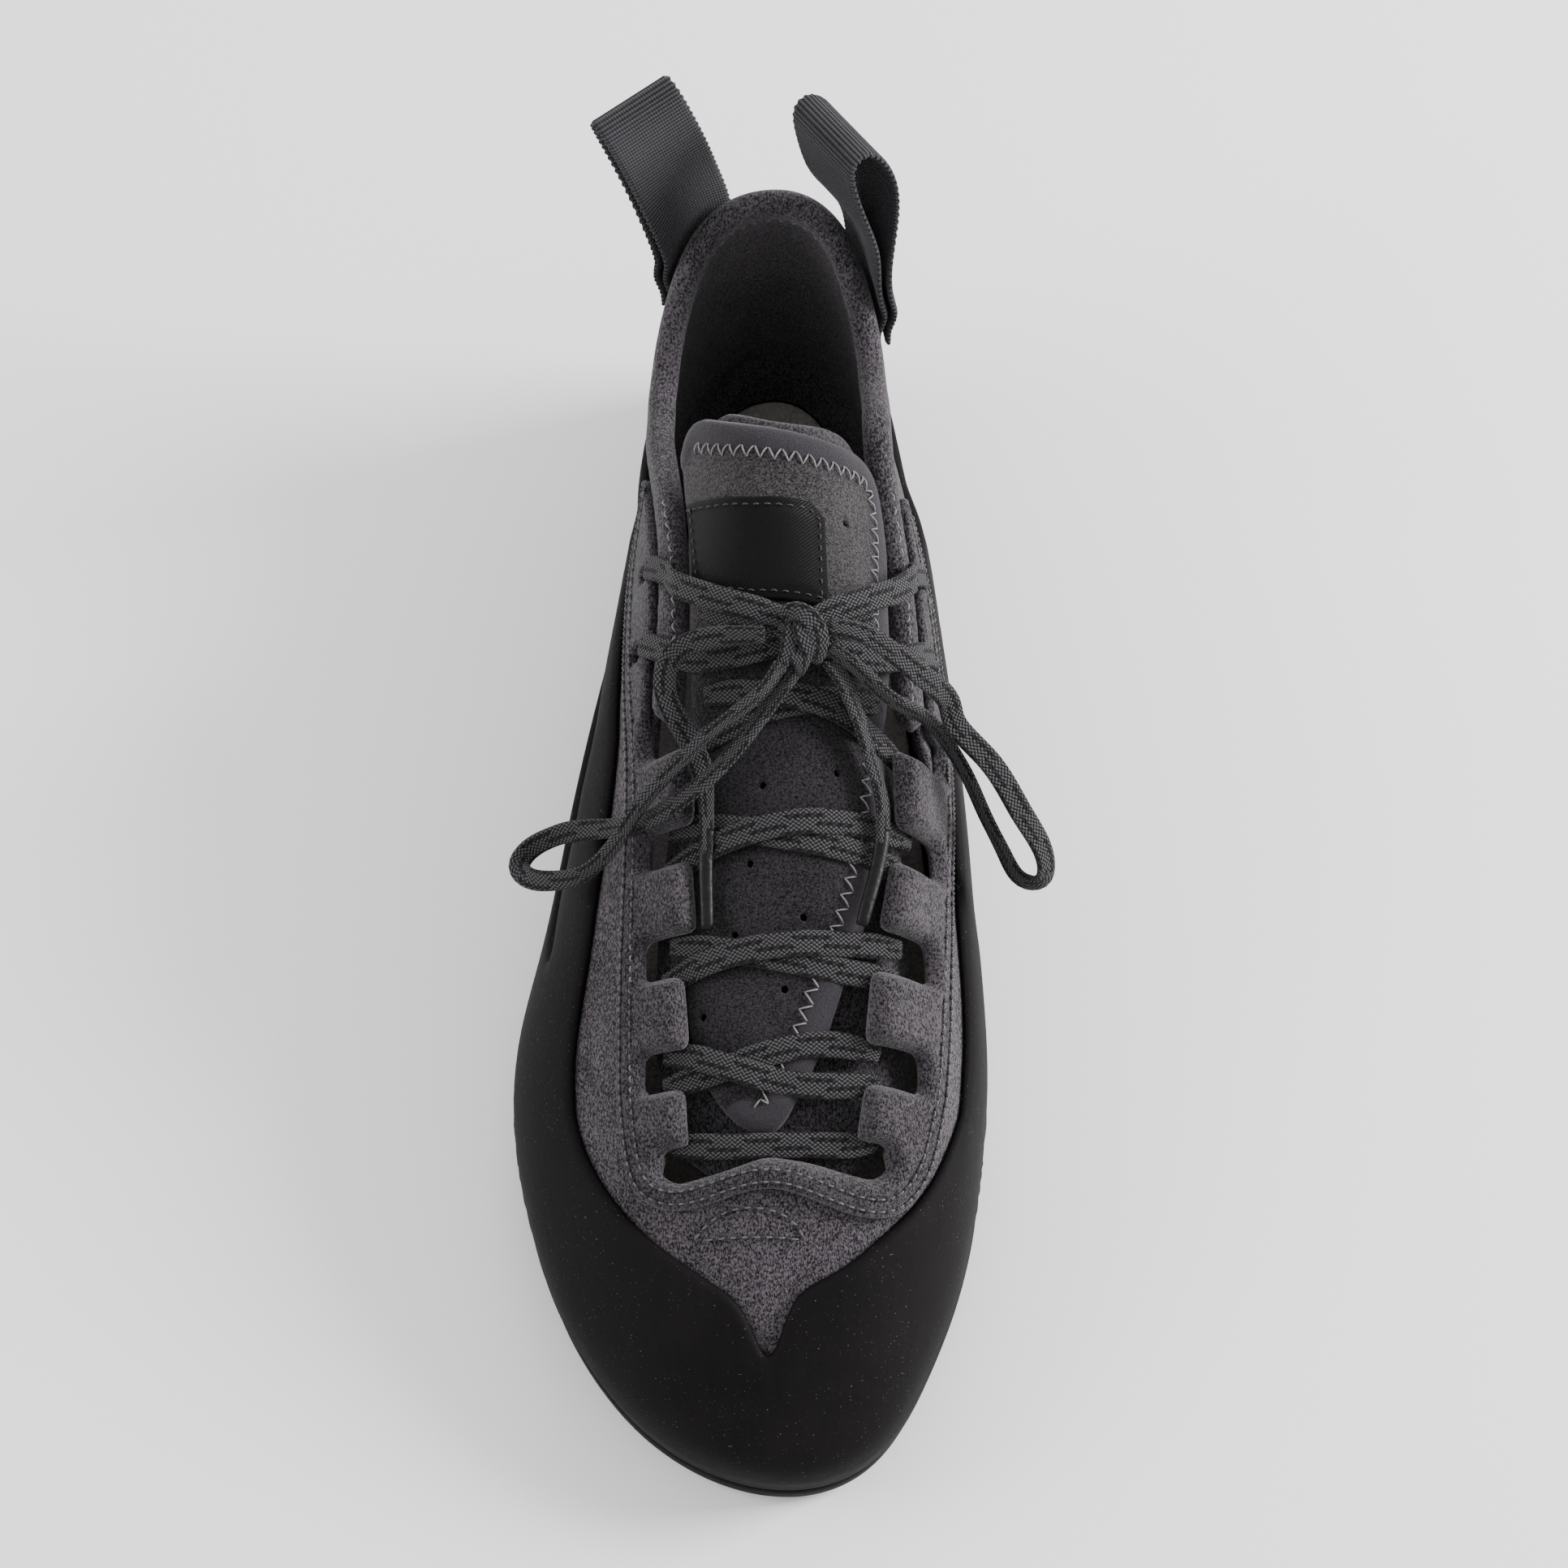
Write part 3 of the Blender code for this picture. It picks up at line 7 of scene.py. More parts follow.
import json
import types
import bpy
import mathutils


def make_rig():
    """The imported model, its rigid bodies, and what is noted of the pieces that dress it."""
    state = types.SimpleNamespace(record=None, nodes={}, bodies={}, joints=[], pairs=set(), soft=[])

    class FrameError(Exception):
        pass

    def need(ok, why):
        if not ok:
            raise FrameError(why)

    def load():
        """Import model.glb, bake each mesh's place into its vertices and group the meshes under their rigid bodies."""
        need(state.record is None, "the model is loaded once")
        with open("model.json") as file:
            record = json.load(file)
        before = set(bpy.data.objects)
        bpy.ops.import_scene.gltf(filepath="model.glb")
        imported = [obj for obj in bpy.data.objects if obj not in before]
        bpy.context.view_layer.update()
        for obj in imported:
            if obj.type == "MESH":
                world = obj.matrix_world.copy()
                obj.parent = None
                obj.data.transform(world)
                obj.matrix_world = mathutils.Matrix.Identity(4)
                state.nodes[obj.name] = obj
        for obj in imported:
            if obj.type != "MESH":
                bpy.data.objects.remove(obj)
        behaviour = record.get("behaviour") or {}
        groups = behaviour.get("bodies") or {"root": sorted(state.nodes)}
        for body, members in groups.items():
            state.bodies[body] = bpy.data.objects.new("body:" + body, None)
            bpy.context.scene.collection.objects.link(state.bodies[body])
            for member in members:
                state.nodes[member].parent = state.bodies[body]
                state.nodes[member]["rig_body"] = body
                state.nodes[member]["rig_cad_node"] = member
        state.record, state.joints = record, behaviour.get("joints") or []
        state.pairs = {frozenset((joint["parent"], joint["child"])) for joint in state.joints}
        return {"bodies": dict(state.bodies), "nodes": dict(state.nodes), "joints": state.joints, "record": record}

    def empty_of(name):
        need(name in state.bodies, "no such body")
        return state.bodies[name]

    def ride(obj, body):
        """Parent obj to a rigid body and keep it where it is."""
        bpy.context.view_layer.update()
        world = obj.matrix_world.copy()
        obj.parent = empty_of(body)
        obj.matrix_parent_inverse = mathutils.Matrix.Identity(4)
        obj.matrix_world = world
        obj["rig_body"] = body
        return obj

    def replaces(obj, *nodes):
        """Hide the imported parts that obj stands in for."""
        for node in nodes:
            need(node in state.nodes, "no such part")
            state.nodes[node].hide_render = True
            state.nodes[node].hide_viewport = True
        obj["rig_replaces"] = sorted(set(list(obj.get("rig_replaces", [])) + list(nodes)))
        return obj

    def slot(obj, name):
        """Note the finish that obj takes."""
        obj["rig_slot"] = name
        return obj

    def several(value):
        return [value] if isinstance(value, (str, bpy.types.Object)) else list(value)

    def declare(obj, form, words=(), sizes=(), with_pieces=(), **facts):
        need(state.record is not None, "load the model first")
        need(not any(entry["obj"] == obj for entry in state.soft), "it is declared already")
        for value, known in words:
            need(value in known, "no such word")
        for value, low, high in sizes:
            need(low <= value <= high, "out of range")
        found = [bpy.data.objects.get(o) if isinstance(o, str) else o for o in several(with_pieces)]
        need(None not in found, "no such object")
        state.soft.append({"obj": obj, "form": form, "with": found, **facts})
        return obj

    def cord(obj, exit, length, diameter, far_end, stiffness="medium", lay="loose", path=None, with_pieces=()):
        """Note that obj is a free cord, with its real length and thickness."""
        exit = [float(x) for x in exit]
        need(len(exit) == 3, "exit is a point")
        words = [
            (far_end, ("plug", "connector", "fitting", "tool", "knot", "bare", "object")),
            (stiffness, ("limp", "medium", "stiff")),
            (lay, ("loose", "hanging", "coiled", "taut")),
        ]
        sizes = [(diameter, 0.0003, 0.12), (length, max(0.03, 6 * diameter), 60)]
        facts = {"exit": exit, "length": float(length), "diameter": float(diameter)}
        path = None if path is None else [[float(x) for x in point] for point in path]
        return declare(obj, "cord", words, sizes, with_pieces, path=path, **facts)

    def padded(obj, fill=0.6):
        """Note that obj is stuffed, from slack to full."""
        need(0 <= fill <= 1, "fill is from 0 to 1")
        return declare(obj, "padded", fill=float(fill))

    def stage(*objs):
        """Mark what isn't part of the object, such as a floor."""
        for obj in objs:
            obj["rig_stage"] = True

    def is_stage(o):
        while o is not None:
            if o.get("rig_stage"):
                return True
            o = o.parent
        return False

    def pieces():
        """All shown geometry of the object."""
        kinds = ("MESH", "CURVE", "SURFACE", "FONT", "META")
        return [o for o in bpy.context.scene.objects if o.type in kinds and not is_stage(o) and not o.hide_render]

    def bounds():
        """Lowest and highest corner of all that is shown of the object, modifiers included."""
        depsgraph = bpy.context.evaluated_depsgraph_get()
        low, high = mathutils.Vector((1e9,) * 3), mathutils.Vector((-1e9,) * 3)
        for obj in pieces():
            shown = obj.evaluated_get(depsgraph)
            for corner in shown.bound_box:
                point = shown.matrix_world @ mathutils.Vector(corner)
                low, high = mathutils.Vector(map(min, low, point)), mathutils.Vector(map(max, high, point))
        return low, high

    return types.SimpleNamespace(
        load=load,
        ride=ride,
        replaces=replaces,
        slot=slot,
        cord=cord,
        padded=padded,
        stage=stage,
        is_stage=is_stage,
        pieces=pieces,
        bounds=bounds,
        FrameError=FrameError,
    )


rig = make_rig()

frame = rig.load()

import json

import bpy
import numpy as np
from mathutils import Vector, kdtree
from mathutils.geometry import delaunay_2d_cdt

cad_box = [list(corner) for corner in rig.bounds()]

# Camera, floor and light: the shoe is seen from above its toe on a white sweep, with one large
# soft light from the big toe's side and a pale sky all round.
TARGET = Vector((0.0, -0.092, 0.040))
DISTANCE, ELEVATION, LENS = 0.900, 64.0, 100.3

camera_data = bpy.data.cameras.new("camera")
camera_data.lens, camera_data.sensor_width, camera_data.clip_start = LENS, 36.0, 0.01
camera = bpy.data.objects.new("camera", camera_data)
away = Vector((0, -np.cos(np.radians(ELEVATION)), np.sin(np.radians(ELEVATION))))
camera.location = TARGET + away * DISTANCE
camera.rotation_euler = (-away).to_track_quat("-Z", "Y").to_euler()
bpy.context.scene.collection.objects.link(camera)
bpy.context.scene.camera = camera


def lamp(name, place, aim, size, power):
    """A square soft light at a place, turned to its aim."""
    data = bpy.data.lights.new(name, "AREA")
    data.shape, data.size, data.energy = "SQUARE", size, power
    light = bpy.data.objects.new(name, data)
    light.location = place
    light.rotation_euler = (Vector(aim) - Vector(place)).to_track_quat("-Z", "Y").to_euler()
    bpy.context.scene.collection.objects.link(light)


SHOE_MIDDLE, ANKLE = (0, -0.09, 0.03), (0, -0.05, 0.05)
lamp("key", (1.15, 0.10, 0.66), SHOE_MIDDLE, size=0.50, power=34)
lamp("fill", (-1.05, -0.15, 0.62), SHOE_MIDDLE, size=0.70, power=9)
lamp("back", (0.05, 1.05, 0.75), ANKLE, size=0.60, power=5)

SKY_STRENGTH, PAPER_WHITE, PAPER_ROUGHNESS = 0.95, 0.93, 0.8
sky = bpy.data.worlds.new("sky")
sky.use_nodes = True
glow = sky.node_tree.nodes["Background"]
glow.inputs["Color"].default_value = (1.0, 1.0, 1.0, 1)
glow.inputs["Strength"].default_value = SKY_STRENGTH
bpy.context.scene.world = sky

FLOOR_SIZE, FLOOR_PLACE = 6.0, (0, -0.1, -0.0003)
bpy.ops.mesh.primitive_plane_add(size=FLOOR_SIZE, location=FLOOR_PLACE)
floor = bpy.context.object
floor.name = "floor"
paper = bpy.data.materials.new("white paper sweep")
paper.use_nodes = True
paper_shader = paper.node_tree.nodes["Principled BSDF"]
paper_shader.inputs["Base Color"].default_value = (PAPER_WHITE, PAPER_WHITE, PAPER_WHITE, 1)
paper_shader.inputs["Roughness"].default_value = PAPER_ROUGHNESS
floor.data.materials.append(paper)
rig.stage(floor)

# The last: the foot's form that the suede is pulled over. It carries no material of its own.
# Every sewn or glued piece below takes its place from this surface.
LENGTH, BALL_WIDTH, INSTEP_HEIGHT, HEEL_BACK, ARCH_RISE = 0.258, 0.0925, 0.088, 0.028, 0.007
SOLE_THICKNESS, UPPER_WALL = 0.004, 0.002
CLEARANCE, FACET_ALLOWANCE = 0.0003, 0.0003

# Share of the length, little toe's edge, big toe's edge as shares of the ball width.
OUTLINE = (
    (0.000, -0.020, -0.020), (0.040, -0.218, 0.160), (0.100, -0.282, 0.218), (0.160, -0.308, 0.252),
    (0.230, -0.340, 0.312), (0.310, -0.385, 0.348), (0.400, -0.434, 0.376), (0.500, -0.478, 0.398),
    (0.580, -0.522, 0.414), (0.640, -0.562, 0.425), (0.690, -0.575, 0.426), (0.750, -0.560, 0.411),
    (0.810, -0.520, 0.385), (0.860, -0.472, 0.350), (0.910, -0.393, 0.297), (0.955, -0.287, 0.233),
    (0.985, -0.165, 0.153), (1.000, 0.010, 0.010),
)
# Share of the length, the ridge's x, widest level, ridge height, tuck under the widest level,
# and how full the dome is on the little toe's and the big toe's side.
SECTIONS = (
    (0.00, -0.040, 0.20, 1.160, 0.060, 3.60, 3.60), (0.05, -0.040, 0.20, 1.150, 0.058, 3.10, 2.90),
    (0.12, -0.040, 0.20, 1.130, 0.055, 2.70, 2.50), (0.22, -0.028, 0.19, 1.100, 0.050, 1.95, 1.85),
    (0.30, -0.010, 0.18, 1.060, 0.050, 1.66, 1.70), (0.40, 0.012, 0.17, 0.975, 0.050, 1.65, 1.78),
    (0.50, 0.030, 0.16, 0.865, 0.045, 1.70, 1.92), (0.60, 0.042, 0.15, 0.755, 0.035, 1.74, 2.04),
    (0.70, 0.052, 0.15, 0.650, 0.025, 1.80, 2.14), (0.80, 0.056, 0.15, 0.545, 0.018, 1.90, 2.20),
    (0.90, 0.050, 0.15, 0.430, 0.012, 2.05, 2.26), (1.00, 0.040, 0.15, 0.300, 0.008, 2.28, 2.28),
)
CROWN, HEEL_PIVOT, TOE_PIVOT = 0.08, 0.12, 0.74
SOLE_LINE = ((0.00, 0.15), (0.05, 0.0), (0.20, 0.0), (0.45, 1.0), (0.68, 0.0), (0.90, 0.0), (1.00, 0.35))


def spline(xs, ys, x):
    """A natural cubic spline through the points, read at x."""
    xs, ys, x = (np.asarray(v, float) for v in (xs, ys, x))
    n, h = len(xs), np.diff(xs)
    m, r = np.eye(n), np.zeros(n)
    for i in range(1, n - 1):
        m[i, i - 1], m[i, i], m[i, i + 1] = h[i - 1], 2 * (h[i - 1] + h[i]), h[i]
        r[i] = 6 * ((ys[i + 1] - ys[i]) / h[i] - (ys[i] - ys[i - 1]) / h[i - 1])
    c = np.linalg.solve(m, r)
    i = np.clip(np.searchsorted(xs, x) - 1, 0, n - 2)
    t, u = x - xs[i], xs[i + 1] - x
    return (
        (c[i] * u**3 + c[i + 1] * t**3) / (6 * h[i])
        + (ys[i] / h[i] - c[i] * h[i] / 6) * u
        + (ys[i + 1] / h[i] - c[i + 1] * h[i] / 6) * t
    )


def edge(share, side):
    rows = np.array(OUTLINE)
    turned = [np.arccos(np.clip(1 - 2 * np.asarray(v, float), -1, 1)) for v in (rows[:, 0], share)]
    return BALL_WIDTH * spline(turned[0], rows[:, 1 if side < 0 else 2], turned[1])


def section(share, column):
    rows = np.array(SECTIONS)
    return spline(rows[:, 0], rows[:, column], np.clip(share, -0.05, 1.05))


def sole_line(share):
    """Height of the sole's underside."""
    rows, share = np.array(SOLE_LINE), np.clip(np.asarray(share, float), 0, 1)
    i = np.clip(np.searchsorted(rows[:, 0], share, side="right") - 1, 0, len(rows) - 2)
    t = (share - rows[i, 0]) / (rows[i + 1, 0] - rows[i, 0])
    t = t * t * (3 - 2 * t)
    return ARCH_RISE * (rows[i, 1] * (1 - t) + rows[i + 1, 1] * t)


def along(share):
    return HEEL_BACK - LENGTH * np.asarray(share, float)


def shares(rows):
    """Pattern places from shares of the ball width and of the length."""
    return np.array(rows, float) * (BALL_WIDTH, LENGTH)


class Last:
    """The upper's outer surface as a ring of section columns from the ridge down to the sole.
    It turns pattern places (a, b) into points of the surface."""

    STEP, ROWS_BELOW = 0.001, 14
    SIDE_COLUMNS, DOME_STEPS, WALL_STEPS = 241, 80, 24
    NORMAL_STEP, LEVELLING, SLOPE_STEP = 0.0012, 0.008, 0.0005

    def __init__(self):
        half = (1 - np.cos(np.linspace(0, np.pi, self.SIDE_COLUMNS))) / 2
        self.share = np.concatenate([half, half[-2:0:-1]])
        self.side = np.concatenate([np.ones(self.SIDE_COLUMNS), -np.ones(self.SIDE_COLUMNS - 2)])
        share, count = self.share, len(self.share)
        fx = np.where(self.side > 0, edge(share, 1), edge(share, -1))
        pivot = np.clip(share, HEEL_PIVOT, TOE_PIVOT)
        foot = np.stack([fx, along(share)], -1)
        top = np.stack([BALL_WIDTH * section(pivot, 1), along(pivot)], -1)
        out = (foot - top) / np.linalg.norm(foot - top, axis=1)[:, None]
        under = sole_line(share)
        widest = INSTEP_HEIGHT * section(share, 2) + under
        floor_level = under + SOLE_THICKNESS
        full = np.where(self.side > 0, section(share, 6), section(share, 5))[:, None]
        angle = np.linspace(np.pi / 2, 0, self.DOME_STEPS)[None, :]
        reach, lift = np.cos(angle) ** (2 / full), np.sin(angle) ** (2 / full)
        reach = np.sqrt((reach * (np.hypot(1, CROWN) - CROWN) + CROWN) ** 2 - CROWN**2)
        plan = top[:, None] + reach[..., None] * (foot - top)[:, None]
        ridge = INSTEP_HEIGHT * section((HEEL_BACK - plan[..., 1]) / LENGTH, 3)
        dome = np.concatenate([plan, (widest[:, None] + (ridge - widest[:, None]) * lift)[..., None]], -1)
        t = np.linspace(0, 1, self.WALL_STEPS)[1:]
        inset = (BALL_WIDTH * section(share, 4))[:, None] * (1 - np.cos(np.pi / 2 * t))
        low = foot[:, None] - inset[..., None] * out[:, None]
        wall = np.concatenate([low, (widest[:, None] - (widest - floor_level)[:, None] * t)[..., None]], -1)
        column = np.concatenate([dome, wall], 1)
        walk = np.linalg.norm(np.diff(column, axis=1), axis=2)
        walk = np.concatenate([np.zeros((count, 1)), np.cumsum(walk, axis=1)], 1)
        self.girth = walk[:, -1]
        down = column[:, -1] - column[:, -2]
        down /= np.linalg.norm(down, axis=1)[:, None]
        reach = np.arange(int(self.girth.max() / self.STEP) + self.ROWS_BELOW) * self.STEP
        self.table = np.empty((count, len(reach), 3))
        for k in range(count):
            for c in range(3):
                self.table[k, :, c] = np.interp(reach, walk[k], column[k, :, c])
            past = reach > self.girth[k]
            self.table[k, past] = column[k, -1] + (reach[past] - self.girth[k])[:, None] * down[k]
        order = np.arange(count)
        toe, heel = share >= TOE_PIVOT - 1e-9, share <= HEEL_PIVOT + 1e-9
        self.toe = (np.arctan2(along(TOE_PIVOT) - foot[toe, 1], (foot - top)[toe, 0]), order[toe])
        turn = np.arctan2(foot[heel, 1] - along(HEEL_PIVOT), (foot - top)[heel, 0])
        wrapped = np.where(order > count // 2, order - count, order)[heel]
        by = np.argsort(turn)
        self.heel = (turn[by], wrapped[by].astype(float))
        self.sides = {}
        for side in (-1, 1):
            of = order[self.side == side]
            of = of[np.argsort(share[of])]
            self.sides[side] = (share[of], of.astype(float))

    def column(self, a, b):
        """Column number and girth distance of the pattern places."""
        a, b = np.asarray(a, float), np.asarray(b, float)
        k = np.where(a >= 0, np.interp(b / LENGTH, *self.sides[1]), np.interp(b / LENGTH, *self.sides[-1]))
        past_toe, past_heel = b - TOE_PIVOT * LENGTH, HEEL_PIVOT * LENGTH - b
        k = np.where(past_toe > 0, np.interp(np.arctan2(past_toe, a), *self.toe), k)
        k = np.where(past_heel > 0, np.interp(np.arctan2(past_heel, a), *self.heel), k)
        d = np.where(past_heel > 0, np.hypot(a, past_heel), np.abs(a))
        d = np.where(past_toe > 0, np.hypot(a, past_toe), d)
        return k, d

    def point(self, a, b):
        k, d = self.column(a, b)
        k0 = np.floor(k).astype(int)
        between_columns = (k - k0)[..., None]
        m = np.clip(d / self.STEP, 0, self.table.shape[1] - 1.001)
        m0 = m.astype(int)
        between_rows = (m - m0)[..., None]
        k0, k1, t = k0 % len(self.share), (k0 + 1) % len(self.share), self.table
        upper, lower = (t[k0, row] * (1 - between_columns) + t[k1, row] * between_columns
                        for row in (m0, m0 + 1))
        return upper * (1 - between_rows) + lower * between_rows

    def above_foot(self, a, b):
        """Girth distance down to the sole's edge."""
        k, d = self.column(a, b)
        around = np.append(self.girth, self.girth[0])
        return np.interp(k % len(self.share), np.arange(len(around)), around) - d

    def normal(self, a, b):
        """Outward direction, level where the wall meets the sole."""
        a, b, e = np.asarray(a, float), np.asarray(b, float), self.NORMAL_STEP
        by_a, by_b = self.point(a + e, b) - self.point(a - e, b), self.point(a, b + e) - self.point(a, b - e)
        n = np.cross(by_b, by_a)
        n[..., 2] *= np.clip(self.above_foot(a, b) / self.LEVELLING, 0, 1)
        return n / np.linalg.norm(n, axis=-1)[..., None]

    def lifted(self, places, lift):
        """Points at a height above the surface: a number, an array or a function of places."""
        a, b = places[:, 0], places[:, 1]
        lift = lift(places) if callable(lift) else np.zeros(len(a)) + lift
        return self.point(a, b) + self.normal(a, b) * lift[:, None]

    def place(self, share, side, height):
        """The pattern place of a height on the wall at a share of the length."""
        which = np.where(self.side == side)[0]
        k = which[np.argmin(np.abs(self.share[which] - share))]
        rows = self.table[k, : int(self.girth[k] / self.STEP)]
        return self.in_column(k, np.interp(-height, -rows[:, 2], np.arange(len(rows)) * self.STEP))

    def in_column(self, k, d):
        """The pattern place at girth distance d in column k."""
        s, side = self.share[k], self.side[k]
        if s > TOE_PIVOT:
            angle = np.interp(k, self.toe[1], self.toe[0])
            return d * np.cos(angle), TOE_PIVOT * LENGTH + d * np.sin(angle)
        if s < HEEL_PIVOT:
            angle = np.interp(k - len(self.share) if side < 0 else k, np.sort(self.heel[1]),
                              self.heel[0][np.argsort(self.heel[1])])
            return d * np.cos(angle), HEEL_PIVOT * LENGTH - d * np.sin(angle)
        return side * d, s * LENGTH

    def aside(self, line, distance):
        """A pattern line moved over the surface to its left by a true distance."""
        a, b, e = line[:, 0], line[:, 1], self.SLOPE_STEP
        by_a = (self.point(a + e, b) - self.point(a - e, b)) / (2 * e)
        by_b = (self.point(a, b + e) - self.point(a, b - e)) / (2 * e)
        run = np.gradient(line, axis=0)
        run = by_a * run[:, :1] + by_b * run[:, 1:]
        way = np.cross(run, self.normal(a, b))
        way /= np.linalg.norm(way, axis=1)[:, None]
        slopes = np.stack([by_a, by_b], -1)
        moves = [np.linalg.lstsq(slope, to, rcond=None)[0] for slope, to in zip(slopes, way)]
        return line + distance * np.array(moves)

    def foot_line(self, inset):
        """Closed pattern line along the sole's edge, higher by inset."""
        return np.array([self.in_column(k, self.girth[k] - inset) for k in range(0, len(self.share), 3)])


LAST = Last()


def walked(line, power=1):
    """Distance walked to each point of a line. A power under 1 evens out its long and short steps."""
    return np.concatenate([[0], np.cumsum(np.linalg.norm(np.diff(line, axis=0), axis=1) ** power)])


def walk_line(fine, step, closed=False):
    """Points at even distances along a fine line."""
    d = walked(fine)
    s = np.linspace(0, d[-1], max(3, int(round(d[-1] / step))) + 1)
    line = np.stack([np.interp(s, d, fine[:, c]) for c in range(fine.shape[1])], -1)
    return line[:-1] if closed else line


EVENNESS, FINE_POINTS = 0.7, 3000


def smooth(points, step, closed=True):
    """A smooth line through the points, with a point about every step."""
    p = np.array(points, float)
    if closed:
        p = np.vstack([p[-3:], p, p[:3]])
    t = walked(p, EVENNESS)
    fine_t = np.linspace(t[2], t[-3], FINE_POINTS) if closed else np.linspace(t[0], t[-1], FINE_POINTS)
    fine = np.stack([spline(t, p[:, c], fine_t) for c in range(p.shape[1])], -1)
    if closed:
        fine = fine[np.searchsorted(fine_t, t[3]):np.searchsorted(fine_t, t[-3])]
        fine = np.vstack([fine, fine[:1]])
    return walk_line(fine, step, closed)


def unit(v):
    return v / np.linalg.norm(v, axis=-1)[..., None]


def leftward(line):
    """Directions to the left of a flat open line."""
    run = unit(np.gradient(line, axis=0))
    return np.stack([-run[:, 1], run[:, 0]], -1)


def soft_step(t):
    t = np.clip(t, 0, 1)
    return t * t * (3 - 2 * t)


# Lace: a flat hollow braid, 5.2 mm wide, of grey yarns, some of which turn black in short runs.
# It crosses the throat, comes up through the eyelets beside the collar roll and is tied in a
# bow over the tongue. Its ends hang down over the tongue and finish in black tips.
LACE_WIDTH, LACE_THICKNESS = 0.0052, 0.0016
ROLL_WIDTH, ROLL_THICKNESS, ROLL_SINK = 0.0070, 0.0058, 0.0008
FACING_LIFT, FACING_THICKNESS = 0.0006, 0.0022
COLLAR_LATERAL = (
    (0.00, 0.895), (0.04, 0.845), (0.08, 0.735), (0.13, 0.645), (0.18, 0.655),
    (0.22, 0.712), (0.27, 0.762), (0.34, 0.800), (0.41, 0.785), (0.46, 0.750),
)
COLLAR_MEDIAL = (
    (0.00, 0.895), (0.04, 0.855), (0.08, 0.770), (0.12, 0.722), (0.17, 0.745), (0.20, 0.780),
    (0.25, 0.775), (0.30, 0.742), (0.34, 0.725), (0.41, 0.725), (0.46, 0.705),
)
BRIDGE = ((0.25, 0.016), (0.45, 0.012), (0.75, 0.006))

collar = [LAST.place(s, -1, INSTEP_HEIGHT * h) for s, h in COLLAR_LATERAL[:0:-1]]
collar += [LAST.place(0.0, 1, INSTEP_HEIGHT * COLLAR_MEDIAL[0][1])]
collar += [LAST.place(s, 1, INSTEP_HEIGHT * h) for s, h in COLLAR_MEDIAL[1:]]
collar_fine = smooth(collar, 0.002, closed=False)


def tongue_depth(places):
    """How far the tongue's top lies under the last's surface, before it bridges the ridge."""
    under_tabs = max(LACE_THICKNESS + 3 * CLEARANCE, UPPER_WALL + CLEARANCE)
    return -np.interp(places[:, 1] / LENGTH, (0.42, 0.48), (0, under_tabs))


def bridge(places):
    """The tongue's top: the last's surface evened out across the ridge."""
    reach = np.interp(places[:, 1] / LENGTH, *np.array(BRIDGE).T)
    asides = [np.stack([t * reach, 0 * reach], -1) for t in np.linspace(-1, 1, 11)]
    return sum(LAST.lifted(places + aside, tongue_depth) for aside in asides) / len(asides)


def tongue_up(places):
    e = 0.001
    by_a = bridge(places + (e, 0)) - bridge(places - (e, 0))
    by_b = bridge(places + (0, e)) - bridge(places - (0, e))
    return unit(np.cross(by_a, -by_b))


def from_tongue(places, height):
    """Points at a height, a number or an array, over the tongue's top."""
    return bridge(places) + tongue_up(places) * (np.zeros(len(places)) + height)[:, None]


def lace_course(places, layer, height):
    """Points at a height over a lace's underside, which lies on the tongue inside the throat, and
    on the roll and the facing beside it."""
    a, b = places.T
    medial = collar_fine[collar_fine[:, 0] > 0]
    on_roll = max(ROLL_THICKNESS / 2 - ROLL_SINK, FACING_LIFT + FACING_THICKNESS) + CLEARANCE
    gap = np.min(np.linalg.norm(places[:, None] - collar_fine[None], axis=2), axis=1)
    beyond = np.where(a < 0, -a > 0.285 * BALL_WIDTH, a > np.interp(b, medial[:, 1], medial[:, 0]))
    t = soft_step((gap - 0.6 * ROLL_WIDTH) / (0.9 * ROLL_WIDTH))
    t = np.where(beyond, 0, t)
    t = np.where(b > 0.452 * LENGTH, 1, t)[:, None]
    over = CLEARANCE + layer * (LACE_THICKNESS + CLEARANCE) + height
    return LAST.lifted(places, on_roll + height) * (1 - t) + from_tongue(places, over) * t


